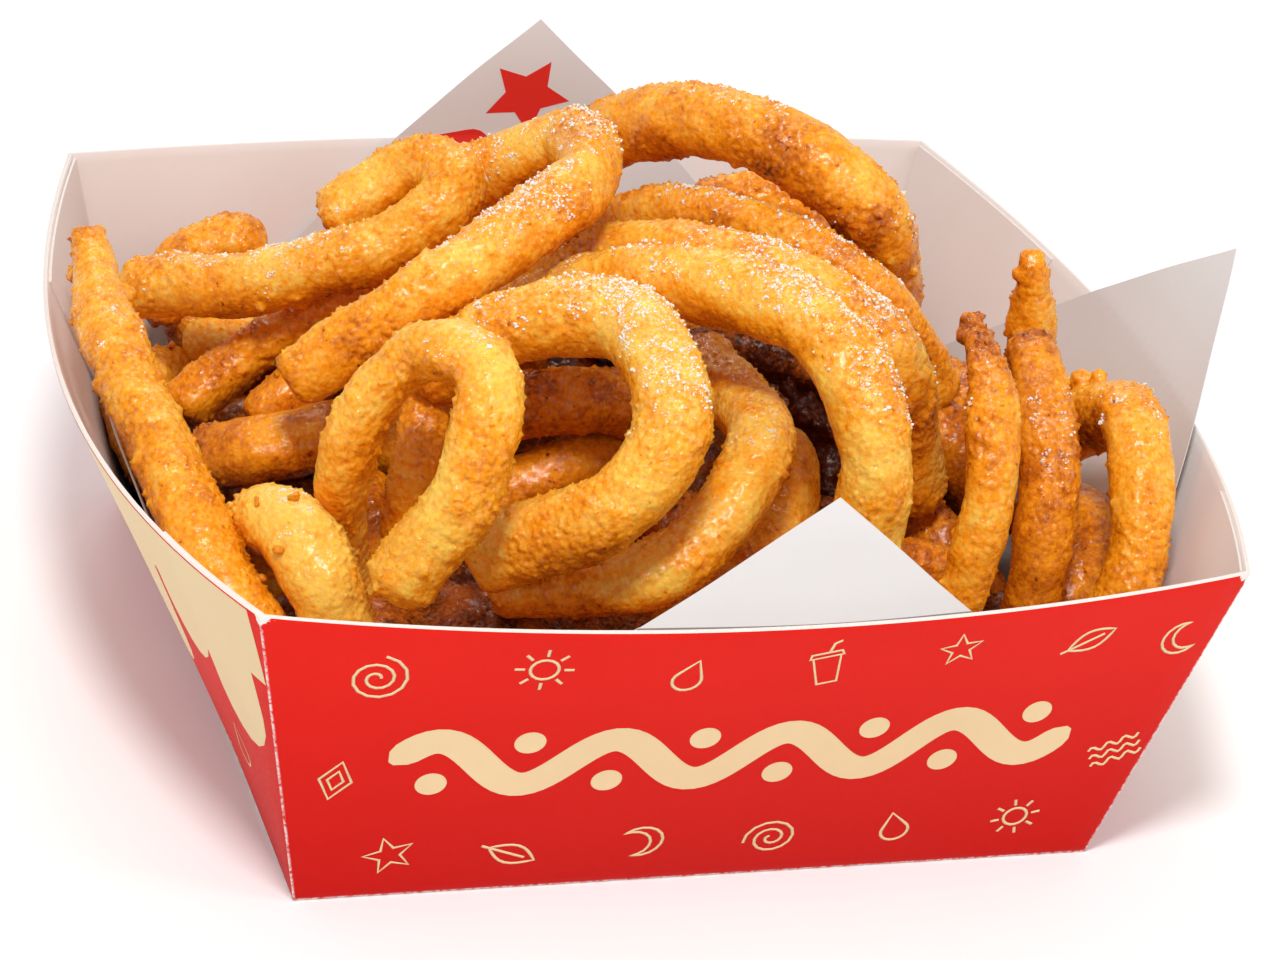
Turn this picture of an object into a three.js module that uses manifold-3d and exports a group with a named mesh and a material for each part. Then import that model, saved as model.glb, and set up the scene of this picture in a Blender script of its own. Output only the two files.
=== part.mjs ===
import * as THREE from "three";
import { mergeVertices } from "three/addons/utils/BufferGeometryUtils.js";
import Module from "manifold-3d";

// Paperboard tray of curly fries on a greaseproof sheet.
// Millimetres, +Z up, X along the front edge, origin at the middle of the tray's underside.

// tray
const RIM_HALF = 80; // half the square between the rim's corners
const BASE_HALF = 67; // half the flat base
const TRAY_HEIGHT = 60; // height of the rim's corners
const BOARD = 0.8; // board thickness
const FRONT_BOW = 8; // how far the front and back walls belly out at the rim
const FRONT_DIP = 1.5; // how far their rims dip mid-side
const SIDE_BOW = 15;
const SIDE_DIP = 4;
const WALL_STEPS = 12; // facets along a wall
const WALL_ROWS = 4; // facets up a wall
const TAB_THICK = 0.5; // glued tabs inside the left and right walls
const BACK_TAB = 42;
const FRONT_TAB = 30;
const TAB_TAPER = 14; // shorter by this much at the base
const TAB_RISE = [0.04, 0.995]; // from just over the base to just under the rim
const TAB_END = 0.994; // share of the half wall where a tab starts, clear of the corner
const TAB_GRIP = 0.6; // share of the board's thickness where a tab's back lies
const TAB_ROWS = 3;
const TAB_COLUMNS = 4;

// liner
const GAP = 0.35; // air kept between neighbours
const PAPER = 0.4;
const RUMPLE = 0.7; // depth of the paper's waves
const WAVE_X = [0.11, 1.3]; // the waves' turn per millimetre and phase
const WAVE_Y = [0.13, -0.4];
const BEND = 6; // paper used to turn up from the base
const LINER_INSET = BOARD + TAB_THICK + GAP; // from the tray's outside to the paper
const FLAT_HALF = BASE_HALF - LINER_INSET;
const CORNER_REACH = 150; // middle of the sheet to its corners
const WALL_RUN = 60; // paper lying against a wall before it leaves the rim
const SKEW_X = 5; // the sheet lies a little to the right
const SKEW_Y = -6; // and to the front
const PAPER_CLEAR = 0.6; // air kept between the paper and the fries

// fries
const SIDES = 8; // facets round a fry
const STEP = 7; // facet length along a fry
const LEAST_STEPS = 3;
const TAPER_RUN = 4; // a tip's factor fades out over one part in this many of the length
const WIDEST = 1.1; // swell of the thickest end
const CAP_SLIDE = 0.6; // in radii: how far the last ring stands off the end
const CAP_WIDTH = 0.62;
const CAP_REACH = 0.8; // in radii: the tip's own distance
const SLIVER = 0.1; // slivers finer than this are merged away
const FRY_INSET = LINER_INSET + RUMPLE + PAPER + GAP;
const FRY_FLOOR = BOARD + 2 * GAP + PAPER + RUMPLE;

// core
const CORE_EDGE = 31;
const CORE_CROWN = 51;
const CORE_SLOPE = 0.06; // rise of the core towards the back
const CORE_POINTS = 5; // points along each side
const CORE_MIDDLE = 24; // the crown lies towards the back
const CORE_DRIFT = 0.15; // and a little to the right, as a share of that

const wasm = await Module();
wasm.setup();

// ---------- shared helpers ----------

function meshFrom(positions, indices) {
  const geometry = new THREE.BufferGeometry();
  geometry.setAttribute("position", new THREE.Float32BufferAttribute(positions, 3));
  geometry.setIndex(indices);
  return geometry;
}

function toSolid(geometry) {
  const welded = mergeVertices(geometry, 1e-4);
  const vertProperties = Float32Array.from(welded.attributes.position.array);
  const triVerts = Uint32Array.from(welded.index.array);
  return new wasm.Manifold(new wasm.Mesh({ numProp: 3, vertProperties, triVerts }));
}

function fromSolid(solid) {
  const mesh = solid.getMesh();
  return meshFrom(Array.from(mesh.vertProperties), Array.from(mesh.triVerts));
}

// closes a stack of equal loops with a fan at each end; loops run counter-clockwise round the way up
function loftLoops(loops, startHub, endHub) {
  const positions = [...loops.flat(), startHub, endHub].flatMap((point) => point.toArray());
  const indices = [];
  const count = loops[0].length;
  for (let row = 0; row < loops.length - 1; row += 1) {
    for (let k = 0; k < count; k += 1) {
      const a = row * count + k;
      const b = row * count + ((k + 1) % count);
      indices.push(a, b, b + count, a, b + count, a + count);
    }
  }
  const hub = loops.length * count;
  const last = (loops.length - 1) * count;
  for (let k = 0; k < count; k += 1) {
    const next = (k + 1) % count;
    indices.push(hub, next, k);
    indices.push(hub + 1, last + k, last + next);
  }
  return meshFrom(positions, indices);
}

// closes two equal sheets of points, split alike, into one thin plate
function plate(lower, upper, faces) {
  const positions = [...lower, ...upper].flatMap((point) => point.toArray());
  const size = lower.length;
  const indices = [];
  const edges = new Map();
  for (const [a, b, c] of faces) {
    indices.push(a, c, b, size + a, size + b, size + c);
    for (const [from, to] of [[a, b], [b, c], [c, a]]) {
      const shared = edges.delete(`${to},${from}`);
      if (!shared) {
        edges.set(`${from},${to}`, [from, to]);
      }
    }
  }
  for (const [from, to] of edges.values()) {
    indices.push(from, to, size + to, from, size + to, size + from);
  }
  return toSolid(meshFrom(positions, indices));
}

// ---------- tray ----------

// half the square between the walls' outsides, at a rise of 0..1
function halfAt(rise) {
  return BASE_HALF + (RIM_HALF - BASE_HALF) * rise;
}

// point on a wall: side 0 front, 1 right, 2 back, 3 left; along -1..1; rise 0..1; inset into the tray
function wallPoint(side, along, rise, inset) {
  const half = halfAt(rise) - inset;
  const belly = rise * (1 - along * along);
  const bow = (side % 2 === 0 ? FRONT_BOW : SIDE_BOW) * belly;
  const dip = (side % 2 === 0 ? FRONT_DIP : SIDE_DIP) * belly;
  const point = new THREE.Vector3(along * half, -half - bow, TRAY_HEIGHT * rise - dip);
  return point.applyAxisAngle(new THREE.Vector3(0, 0, 1), (side * Math.PI) / 2);
}

function wallLoop(rise, inset, lowest, lift) {
  const loop = [];
  for (let k = 0; k < 4 * WALL_STEPS; k += 1) {
    const along = (2 * (k % WALL_STEPS)) / WALL_STEPS - 1;
    const point = wallPoint(Math.floor(k / WALL_STEPS), along, rise, inset);
    point.z = Math.max(point.z + lift, lowest);
    loop.push(point);
  }
  return loop;
}

// an open square vessel between two insets
function vessel(outerInset, innerInset, bottom, floor, lift) {
  const loops = [];
  for (let row = 0; row <= WALL_ROWS; row += 1) {
    loops.push(wallLoop(row / WALL_ROWS, outerInset, bottom, row === 0 ? bottom : lift));
  }
  for (let row = WALL_ROWS; row >= 0; row -= 1) {
    loops.push(wallLoop(row / WALL_ROWS, innerInset, floor, lift));
  }
  const under = new THREE.Vector3(0, 0, bottom);
  return toSolid(loftLoops(loops, under, new THREE.Vector3(0, 0, floor)));
}

// a tab's points at one depth in the wall, from the corner at along = end
function tabSheet(side, end, length, inset) {
  const points = [];
  for (let row = 0; row <= TAB_ROWS; row += 1) {
    const rise = THREE.MathUtils.lerp(TAB_RISE[0], TAB_RISE[1], row / TAB_ROWS);
    const span = (length - TAB_TAPER * (1 - rise)) / halfAt(rise);
    for (let column = 0; column <= TAB_COLUMNS; column += 1) {
      const along = end * (TAB_END - (span * column) / TAB_COLUMNS);
      points.push(wallPoint(side, along, rise, inset));
    }
  }
  return points;
}

// a patch of the front or back panel, glued inside a side wall
function glueTab(side, end, length) {
  const faces = [];
  for (let row = 0; row < TAB_ROWS; row += 1) {
    for (let column = 0; column < TAB_COLUMNS; column += 1) {
      const a = row * (TAB_COLUMNS + 1) + column;
      const b = a + TAB_COLUMNS + 1;
      const pair = [[a, a + 1, b + 1], [a, b + 1, b]];
      faces.push(...pair.map(([p, q, r]) => (end > 0 ? [p, q, r] : [p, r, q])));
    }
  }
  const back = tabSheet(side, end, length, BOARD * TAB_GRIP);
  const front = tabSheet(side, end, length, BOARD + TAB_THICK);
  return plate(back, front, faces);
}

function trayGeometry() {
  let tray = vessel(0, BOARD, 0, BOARD, 0);
  for (const side of [1, 3]) {
    for (const end of [-1, 1]) {
      const atBack = (side === 1) === (end > 0);
      tray = tray.add(glueTab(side, end, atBack ? BACK_TAB : FRONT_TAB));
    }
  }
  return fromSolid(tray);
}

// ---------- greaseproof liner ----------

// the way each corner of the sheet leaves the rim, per millimetre
const LEAVE_FRONT = new THREE.Vector3(0.28, 0.5, 0.52);
const LEAVE_RIGHT = new THREE.Vector3(0.52, 0.08, 0.78);
const LEAVE_BACK = new THREE.Vector3(0.04, 0.09, 0.9);

// grid lines of the sheet; a line's mirror (reach less the line) is a line too, so the cut edge
// always runs through the grid's corners
const NEAR_LINES = [0, 12.3, 24.65, 35, 45, FLAT_HALF];
const SHEET_LINES = [...NEAR_LINES, ...NEAR_LINES.map((line) => CORNER_REACH - line).reverse()];
const FOLDED_LINE = 7; // the left corner is turned under at this line

// height gained per millimetre of wall
const WALL_CLIMB = TRAY_HEIGHT / Math.hypot(TRAY_HEIGHT, RIM_HALF - BASE_HALF);

// distance from the middle to the paper on a wall, at a height and a place along the wall
function paperReach(height, across, bow) {
  const rise = height / TRAY_HEIGHT;
  const half = halfAt(rise) - LINER_INSET;
  return half + bow * rise * Math.max(1 - (across / half) ** 2, 0);
}

function paperWave(flatX, flatY) {
  const wave = Math.sin(flatX * WAVE_X[0] + WAVE_X[1]) * Math.cos(flatY * WAVE_Y[0] + WAVE_Y[1]);
  return RUMPLE * (0.5 + 0.5 * wave);
}

function leaveDirection(pastX, pastY, flatY) {
  if (pastX > pastY) {
    return LEAVE_RIGHT;
  }
  return flatY > 0 ? LEAVE_BACK : LEAVE_FRONT;
}

// where a point of the flat sheet lies: on the base, up a wall, or past the rim
function linerPoint(flatX, flatY, lift) {
  const pastX = Math.max(Math.abs(flatX) - FLAT_HALF, 0);
  const pastY = Math.max(Math.abs(flatY) - FLAT_HALF, 0);
  const run = Math.max(pastX, pastY);
  const upX = Math.min(pastX, WALL_RUN) * WALL_CLIMB;
  const upY = Math.min(pastY, WALL_RUN) * WALL_CLIMB;
  const slide = Math.min(run / WALL_RUN, 1);
  const skewX = pastY > 0 ? SKEW_X * slide : 0;
  const skewY = pastX > 0 ? SKEW_Y * slide : 0;
  const pull = paperWave(flatX, flatY) + lift;
  let x = THREE.MathUtils.clamp(flatX, -FLAT_HALF, FLAT_HALF) + skewX;
  let y = THREE.MathUtils.clamp(flatY, -FLAT_HALF, FLAT_HALF) + skewY;
  const z = BOARD + GAP + upX + upY + pull * Math.max(1 - run / BEND, 0);
  if (pastX > 0) {
    x = Math.sign(flatX) * (paperReach(upX, y, SIDE_BOW) - pull * Math.min(pastX / BEND, 1));
  }
  if (pastY > 0) {
    y = Math.sign(flatY) * (paperReach(upY, x, FRONT_BOW) - pull * Math.min(pastY / BEND, 1));
  }
  const leave = leaveDirection(pastX, pastY, flatY);
  return new THREE.Vector3(x, y, z).addScaledVector(leave, Math.max(run - WALL_RUN, 0));
}

// the sheet's grid corners, by their line numbers, inside the diamond that the square sheet makes
function sheetNodes() {
  const last = SHEET_LINES.length - 1;
  const nodes = new Map();
  for (let i = -FOLDED_LINE; i <= last; i += 1) {
    for (let j = -last; j <= last; j += 1) {
      if (Math.abs(i) + Math.abs(j) <= last) {
        nodes.set(`${i},${j}`, { index: nodes.size, i, j });
      }
    }
  }
  return nodes;
}

// two triangles in a whole cell, one in a cell that the cut edge crosses
function cellFaces(nodes, i, j) {
  const keys = [[i, j], [i + 1, j], [i + 1, j + 1], [i, j + 1]].map((pair) => pair.join(","));
  const [a, b, c, d] = keys.map((key) => nodes.get(key)?.index);
  const kept = [a, b, c, d].filter((corner) => corner !== undefined);
  if (kept.length < 4) {
    return kept.length === 3 ? [kept] : [];
  }
  const turned = i * j < 0 || (i < 0 && j === 0) || (j < 0 && i === 0);
  return turned ? [[a, b, c], [a, c, d]] : [[a, b, d], [b, c, d]];
}

function sheetSolid(lowLift, highLift) {
  const last = SHEET_LINES.length - 1;
  const nodes = sheetNodes();
  const faces = [];
  for (let i = -FOLDED_LINE; i < last; i += 1) {
    for (let j = -last; j < last; j += 1) {
      faces.push(...cellFaces(nodes, i, j));
    }
  }
  const place = (k) => Math.sign(k) * SHEET_LINES[Math.abs(k)];
  const sheet = (lift) => [...nodes.values()].map(({ i, j }) => linerPoint(place(i), place(j), lift));
  return plate(sheet(lowLift), sheet(highLift), faces);
}

// ---------- fries ----------

// thickness, tip factors at both ends, and the way it lies: three points are an arc, more are a curve
const CURLS = {
  leftStick: [10.8, [0.55, 1],
    [[-85, 34, 66], [-86, 10, 61], [-82, -20, 54], [-76, -43, 43], [-67, -56, 30]]],
  leftLoop: [10.5, [1, 1], [[-66, 50, 32], [-76, 32, 36], [-74, 8, 33]]],
  hookLeft: [11.2, [1, 1],
    [[-74, 41, 53], [-56, 29, 60], [-36, 23, 70], [-25, 27, 78], [-28, 38, 77], [-41, 40, 67]]],
  backStub: [10, [1, 1], [[-66, 61, 39], [-61, 63, 48], [-50, 64, 50]]],
  foldedStrip: [11.8, [1, 0.9],
    [[-18, 38, 74], [-5, 27, 86], [-10, 6, 88], [-38, -9, 77], [-58, -8, 62]]],
  shortBack: [10, [1, 1], [[-60, 52, 36], [-51, 49, 38], [-42, 52, 35]]],
  slantStrip: [9.5, [1, 1], [[-67, 29, 37], [-54, 32, 46], [-35, 27, 61]]],
  leftLow: [12, [1, 1], [[-68, 7, 38], [-60, 2, 43], [-45, 3, 45]]],
  frontLoop: [11.5, [0.85, 1.1],
    [[-51, -28, 28], [-57, -36, 62], [-47, -38, 81], [-40, -49, 84], [-42, -57, 71], [-52, -58, 52]]],
  frontStub: [13, [0.9, 1], [[-66, -27, 36], [-66, -38, 51], [-60, -42, 28]]],
  ringInner: [13.2, [0.9, 1],
    [[-38, -16, 66], [-29, -20, 75], [-12, -29, 81], [-9, -50, 76], [-18, -56, 63], [-35, -47, 50]]],
  ringMiddle: [11.3, [1, 1], [[11, -6, 61], [11, -37, 62], [-6, -50, 48], [-30, -43, 41]]],
  ringOuter: [11, [1, 1], [[23, -17, 50], [19, -32, 44], [-4, -40, 34]]],
  bigArch: [13.2, [1, 1],
    [[-26, 10, 55], [-18, 2, 66], [-3, -16, 81], [16, -36, 84], [24, -54, 72], [21, -56, 40]]],
  archTwin: [11.5, [1, 1], [[-18, 24, 52], [-3, 7, 74], [16, -18, 83], [34, -27, 74], [45, -24, 45]]],
  backStrip: [10.5, [1, 1], [[2, 43, 60], [16, 22, 74], [38, -2, 73], [53, -5, 54]]],
  topArch: [13.3, [1, 1], [[2, 55, 66], [9, 49, 77], [23, 26, 89], [42, 8, 82], [53, 20, 55]]],
  behindArch: [10, [1, 1], [[34, 62, 56], [45, 58, 58], [57, 55, 45]]],
  tipBack: [9.5, [0.5, 1], [[66, -8, 79], [69, -7, 64], [72, 4, 34]]],
  tipFront: [9.6, [0.5, 1], [[47, -33, 80], [47, -49, 68], [38, -54, 32]]],
  stickRight: [10.4, [0.8, 1], [[62, -22, 70], [60, -43, 58], [58, -46, 28]]],
  rightLoop: [12, [0.9, 1], [[71, -15, 50], [76, -38, 64], [70, -58, 40], [62, -52, 24]]],
  darkRight: [11, [1, 1], [[50, 6, 48], [55, -7, 47], [63, -16, 34]]],
  lowRightA: [11, [1, 1], [[47, -16, 38], [50, -25, 36], [57, -32, 28]]],
  lowRightB: [11, [1, 1], [[74, -16, 35], [73, -34, 39], [64, -44, 28]]],
  holeTop: [11, [1, 1], [[-23, -8, 54], [-12, -10, 57], [5, -8, 50]]],
  holeLow: [10.5, [1, 1], [[-25, -13, 40], [-13, -12, 45], [5, -5, 42]]],
  loopHole: [9.5, [1, 1], [[-37, -11, 60], [-41, -21, 53], [-42, -22, 38]]],
  loopLow: [10, [1, 1], [[-43, -6, 37], [-47, -16, 36], [-45, -22, 29]]],
  frontLow: [11, [1, 1], [[-42, -32, 28], [-28, -38, 31], [-12, -36, 28]]],
  darkMid: [10, [1, 1], [[6, 8, 48], [24, 4, 57], [41, -1, 50]]],
  crag: [8, [1, 1], [[30, -5, 50], [33, -12, 46], [32, -20, 38]]],
  backCorner: [11, [1, 1], [[26, 66, 38], [48, 62, 38], [60, 46, 34]]],
  backLow: [11, [1, 1], [[-34, 62, 37], [-12, 68, 42], [12, 58, 44]]],
  backFar: [10, [1, 1], [[-61, 60, 35], [-44, 69, 38], [-24, 68, 35]]],
  backRise: [11, [1, 1], [[-40, 50, 42], [-16, 49, 53], [9, 53, 58]]],
  rightBack: [11, [1, 1], [[68, 10, 34], [71, 27, 36], [63, 43, 32]]],
  rightMid: [11, [1, 1], [[58, 12, 37], [61, 28, 45], [48, 46, 46]]],
  underArch: [11, [1, 1], [[14, 34, 52], [32, 40, 57], [48, 34, 50]]],
  underHook: [11, [1, 1], [[-56, 18, 40], [-34, 21, 51], [-12, 14, 50]]],
  frontFill: [11, [1, 1], [[-14, -60, 31], [12, -64, 33], [36, -60, 29]]],
  frontRight: [10.5, [1, 1], [[27, -44, 35], [36, -42, 41], [48, -42, 35]]],
  backHigh: [11, [1, 1], [[-20, 60, 47], [2, 66, 50], [26, 60, 47]]],
  rightEdge: [11, [1, 1], [[58, -4, 36], [66, 4, 41], [62, 20, 38]]],
  midBack: [11, [1, 1], [[-34, 36, 48], [-20, 40, 54], [-2, 36, 53]]],
  midRight: [11, [1, 1], [[0, 27, 51], [16, 18, 54], [30, 21, 50]]],
  midLeft: [10.5, [1, 1], [[-60, -12, 33], [-52, -22, 36], [-38, -14, 38]]],
  midFront: [11, [1, 1], [[-24, -27, 36], [-10, -25, 41], [4, -22, 40]]],
  leftDeep: [10.5, [1, 1], [[-58, 14, 36], [-46, 9, 40], [-34, -2, 42]]],
  frontLeft: [10.5, [1, 1], [[-52, -60, 29], [-40, -63, 31], [-28, -60, 28]]],
};
const ARC_POINTS = 40; // points that an arc is drawn with before its even spacing

// the circle arc from a through b to c
function arcPoint(a, b, c) {
  const ab = b.clone().sub(a);
  const ac = c.clone().sub(a);
  const normal = ab.clone().cross(ac);
  const toward = normal.clone().cross(ab).multiplyScalar(ac.lengthSq());
  toward.add(ac.clone().cross(normal).multiplyScalar(ab.lengthSq()));
  const centre = a.clone().addScaledVector(toward, 1 / (2 * normal.lengthSq()));
  const axisU = a.clone().sub(centre);
  const axisV = normal.clone().normalize().cross(axisU);
  const end = c.clone().sub(centre);
  const sweep = (Math.atan2(end.dot(axisV), end.dot(axisU)) + 2 * Math.PI) % (2 * Math.PI);
  return (t) => {
    const point = centre.clone().addScaledVector(axisU, Math.cos(t * sweep));
    return point.addScaledVector(axisV, Math.sin(t * sweep));
  };
}

function fryLine(path) {
  let points = path.map((place) => new THREE.Vector3(...place));
  if (points.length === 3) {
    const at = arcPoint(...points);
    points = Array.from({ length: ARC_POINTS + 1 }, (_, k) => at(k / ARC_POINTS));
  }
  return new THREE.CatmullRomCurve3(points, false, "centripetal");
}

// thickness factor at a share t of the length: each tip's own, fading to the full thickness
function swellAt(t, startTip, endTip) {
  const fromStart = startTip + (1 - startTip) * t * TAPER_RUN;
  const fromEnd = endTip + (1 - endTip) * (1 - t) * TAPER_RUN;
  return Math.min(fromStart, fromEnd, endTip > 1 ? WIDEST : 1);
}

function frySolid([thickness, [startTip, endTip], path]) {
  const line = fryLine(path);
  const steps = Math.max(Math.round(line.getLength() / STEP), LEAST_STEPS);
  const places = line.getSpacedPoints(steps);
  const { tangents, normals, binormals } = line.computeFrenetFrames(steps, false);
  const radius = thickness / 2;
  const along = (k, slide) => places[k].clone().addScaledVector(tangents[k], slide);
  const ring = (k, slide, scale) => {
    const loop = [];
    for (let side = 0; side < SIDES; side += 1) {
      const angle = (2 * Math.PI * side) / SIDES;
      const point = along(k, slide).addScaledVector(normals[k], Math.cos(angle) * radius * scale);
      loop.push(point.addScaledVector(binormals[k], Math.sin(angle) * radius * scale));
    }
    return loop;
  };
  const width = (k) => swellAt(k / steps, startTip, endTip);
  const loops = [ring(0, -radius * startTip * CAP_SLIDE, width(0) * CAP_WIDTH)];
  for (let k = 0; k <= steps; k += 1) {
    loops.push(ring(k, 0, width(k)));
  }
  loops.push(ring(steps, radius * endTip * CAP_SLIDE, width(steps) * CAP_WIDTH));
  const startHub = along(0, -radius * startTip * CAP_REACH);
  const endHub = along(steps, radius * endTip * CAP_REACH);
  return toSolid(loftLoops(loops, startHub, endHub));
}

// one level of the core: the wall's outline at a rise, set in, shrunk and moved back
function coreLoop({ rise, inset, height, scale, shift, sloped }) {
  const points = [];
  for (let k = 0; k < 4 * CORE_POINTS; k += 1) {
    const along = (2 * (k % CORE_POINTS) + 1) / CORE_POINTS - 1;
    const wall = wallPoint(Math.floor(k / CORE_POINTS), along, rise, inset);
    const y = wall.y * scale + shift;
    const z = height + (sloped ? CORE_SLOPE * y : 0);
    points.push(new THREE.Vector3(wall.x * scale + shift * CORE_DRIFT, y, z));
  }
  return points;
}

// the low mound that hidden fries fill, higher towards the back
function coreSolid() {
  const levels = [
    { rise: 0.02, inset: 7, height: FRY_FLOOR, scale: 1, shift: 0, sloped: false },
    { rise: 0.25, inset: 6, height: CORE_EDGE / 2, scale: 1, shift: 0, sloped: false },
    { rise: 0.42, inset: 6, height: CORE_EDGE - 4, scale: 1, shift: 0, sloped: true },
    { rise: 0.5, inset: 10, height: CORE_EDGE, scale: 1, shift: 0, sloped: true },
    { rise: 0.5, inset: 7, height: CORE_EDGE + 4, scale: 0.7, shift: 10, sloped: true },
    { rise: 0.5, inset: 7, height: CORE_CROWN - 5, scale: 0.42, shift: CORE_MIDDLE, sloped: true },
  ];
  const under = new THREE.Vector3(0, 0, FRY_FLOOR);
  const crown = new THREE.Vector3(CORE_MIDDLE * CORE_DRIFT, CORE_MIDDLE, CORE_CROWN);
  return toSolid(loftLoops(levels.map(coreLoop), under, crown));
}

function friesGeometry() {
  const curls = Object.values(CURLS).map(frySolid);
  const heap = wasm.Manifold.union([coreSolid(), ...curls]);
  const walls = vessel(-FRONT_BOW, FRY_INSET, -BOARD, FRY_FLOOR, GAP);
  const paper = sheetSolid(-PAPER_CLEAR, PAPER + PAPER_CLEAR);
  const trimmed = heap.subtract(walls).subtract(paper).simplify(SLIVER);
  const pieces = trimmed.decompose().sort((a, b) => b.volume() - a.volume());
  return fromSolid(pieces[0]);
}

// ---------- assembly ----------

function named(name, geometry, color, roughness) {
  const material = new THREE.MeshStandardMaterial({ color, roughness, metalness: 0 });
  const mesh = new THREE.Mesh(geometry, material);
  mesh.name = name;
  return mesh;
}

const tray = named("tray", trayGeometry(), 0xd8322a, 0.5);
const liner = named("liner", fromSolid(sheetSolid(0, PAPER)), 0xeeeae6, 0.65);
const fries = named("fries", friesGeometry(), 0xd9902f, 0.7);

const model = new THREE.Group();
model.add(tray, liner, fries);

export default model;
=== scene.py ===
import math
import random

import bpy
import numpy as np
from mathutils import Matrix, Vector, kdtree, noise
from mathutils.bvhtree import BVHTree


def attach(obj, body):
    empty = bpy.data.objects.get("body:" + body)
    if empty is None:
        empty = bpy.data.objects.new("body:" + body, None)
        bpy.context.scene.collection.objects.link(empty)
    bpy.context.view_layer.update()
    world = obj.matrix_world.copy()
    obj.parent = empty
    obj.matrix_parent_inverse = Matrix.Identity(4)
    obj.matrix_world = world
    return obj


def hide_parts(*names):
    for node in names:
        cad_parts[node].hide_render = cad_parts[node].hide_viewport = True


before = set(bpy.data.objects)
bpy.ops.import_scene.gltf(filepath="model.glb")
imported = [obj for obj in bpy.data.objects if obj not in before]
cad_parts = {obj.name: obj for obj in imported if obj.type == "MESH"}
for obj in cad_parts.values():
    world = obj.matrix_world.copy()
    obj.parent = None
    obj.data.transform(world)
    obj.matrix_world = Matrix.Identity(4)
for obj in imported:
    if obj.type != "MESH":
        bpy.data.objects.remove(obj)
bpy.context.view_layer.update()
mm = 0.001
print("frame loaded")


def deselectAll():
    if bpy.context.mode != "OBJECT":
        bpy.ops.object.mode_set(mode="OBJECT")
    bpy.ops.object.select_all(action="DESELECT")


def pick(piece):  # the only selected object, and the active one
    deselectAll()
    piece.select_set(True)
    bpy.context.view_layer.objects.active = piece
    return piece


def startPiece(name):  # names the primitive that was just added
    piece = bpy.context.active_object
    piece.name = name
    piece.data.name = name
    return pick(piece)


def editPiece(piece, mode="FACE"):
    pick(piece)
    bpy.ops.object.mode_set(mode="EDIT")
    bpy.ops.mesh.select_mode(type=mode)
    bpy.ops.mesh.select_all(action="SELECT")


def useModifier(piece, kind, **settings):
    modifier = piece.modifiers.new(kind.title(), kind)
    for key, value in settings.items():
        setattr(modifier, key, value)
    pick(piece)
    bpy.ops.object.modifier_apply(modifier=modifier.name)


def placeInMesh(piece):
    pick(piece)
    bpy.ops.object.transform_apply(location=True, rotation=True, scale=True)


def joinPieces(pieces, name):
    deselectAll()
    for piece in pieces:
        piece.select_set(True)
    bpy.context.view_layer.objects.active = pieces[0]
    if len(pieces) > 1:
        bpy.ops.object.join()
    return startPiece(name)


def smoothPiece(piece, degrees=None):  # all over, or only where faces meet at less than an angle
    pick(piece)
    if degrees is None:
        bpy.ops.object.shade_smooth()
    else:
        bpy.ops.object.shade_smooth_by_angle(angle=math.radians(degrees))


def copyPiece(piece):
    copy = piece.copy()
    copy.data = piece.data.copy()
    bpy.context.scene.collection.objects.link(copy)
    return copy


def polyCurve(name, points, closed=True, dimensions="2D"):  # points in metres
    curve = bpy.data.curves.new(name, "CURVE")
    curve.dimensions = dimensions
    spline = curve.splines.new("POLY")
    spline.points.add(len(points) - 1)
    for place, point in zip(spline.points, points):
        place.co = (*point, 1)
    spline.use_cyclic_u = closed
    piece = bpy.data.objects.new(name, curve)
    bpy.context.scene.collection.objects.link(piece)
    return piece


def meshFromCurve(piece):
    pick(piece)
    bpy.ops.object.convert(target="MESH")
    return bpy.context.active_object


def readArray(items, name, width):
    values = np.empty(len(items) * width)
    items.foreach_get(name, values)
    return values.reshape(-1, width) if width > 1 else values


def readPoints(piece):
    return readArray(piece.data.vertices, "co", 3)


def readNormals(piece):
    return readArray(piece.data.vertices, "normal", 3)


def readValues(piece, name):
    return readArray(piece.data.attributes[name].data, "value", 1)


def writePoints(piece, points):
    piece.data.vertices.foreach_set("co", np.asarray(points, dtype=float).ravel())
    piece.data.update()


def storeValue(piece, name, values):  # one number for each point, or one for all of them
    layer = piece.data.attributes.get(name) or piece.data.attributes.new(name, "FLOAT", "POINT")
    layer.data.foreach_set("value", np.broadcast_to(values, len(layer.data)).astype(float))


def wear(piece, *materials):
    piece.data.materials.clear()
    for material in materials:
        piece.data.materials.append(material)


def dress(piece, node):
    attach(piece, "root")
    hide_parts(node)


def newMaterial(name):  # with its node tree and the place of each shaded point
    material = bpy.data.materials.new(name)
    material.use_nodes = True
    tree = material.node_tree
    tree.nodes.clear()
    return material, tree, addNode(tree, "ShaderNodeTexCoord").outputs["Object"]


def addNode(tree, kind, **settings):
    node = tree.nodes.new(kind)
    for key, value in settings.items():
        setattr(node, key, value)
    return node


def feed(socket, value):  # a number, a colour or another node's output
    if hasattr(value, "is_output"):
        socket.id_data.links.new(value, socket)
    else:
        socket.default_value = value


def setInputs(node, **values):  # socket names are given in camelCase
    for socket in node.inputs:
        words = socket.name.split(" ")
        plain = words[0].lower() + "".join(word.title() for word in words[1:])
        if plain in values:
            feed(socket, values[plain])
    return node


def arrangeNodes(tree):  # in columns, counted back from the output
    column = {node.name: 0 for node in tree.nodes}
    for _ in tree.nodes:
        for link in tree.links:
            behind = column[link.to_node.name] + 1
            column[link.from_node.name] = max(column[link.from_node.name], behind)
    rows = {}
    for node in tree.nodes:
        rows[column[node.name]] = rows.get(column[node.name], 0) + 1
        node.location = (-260 * column[node.name], -240 * rows[column[node.name]])


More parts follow.
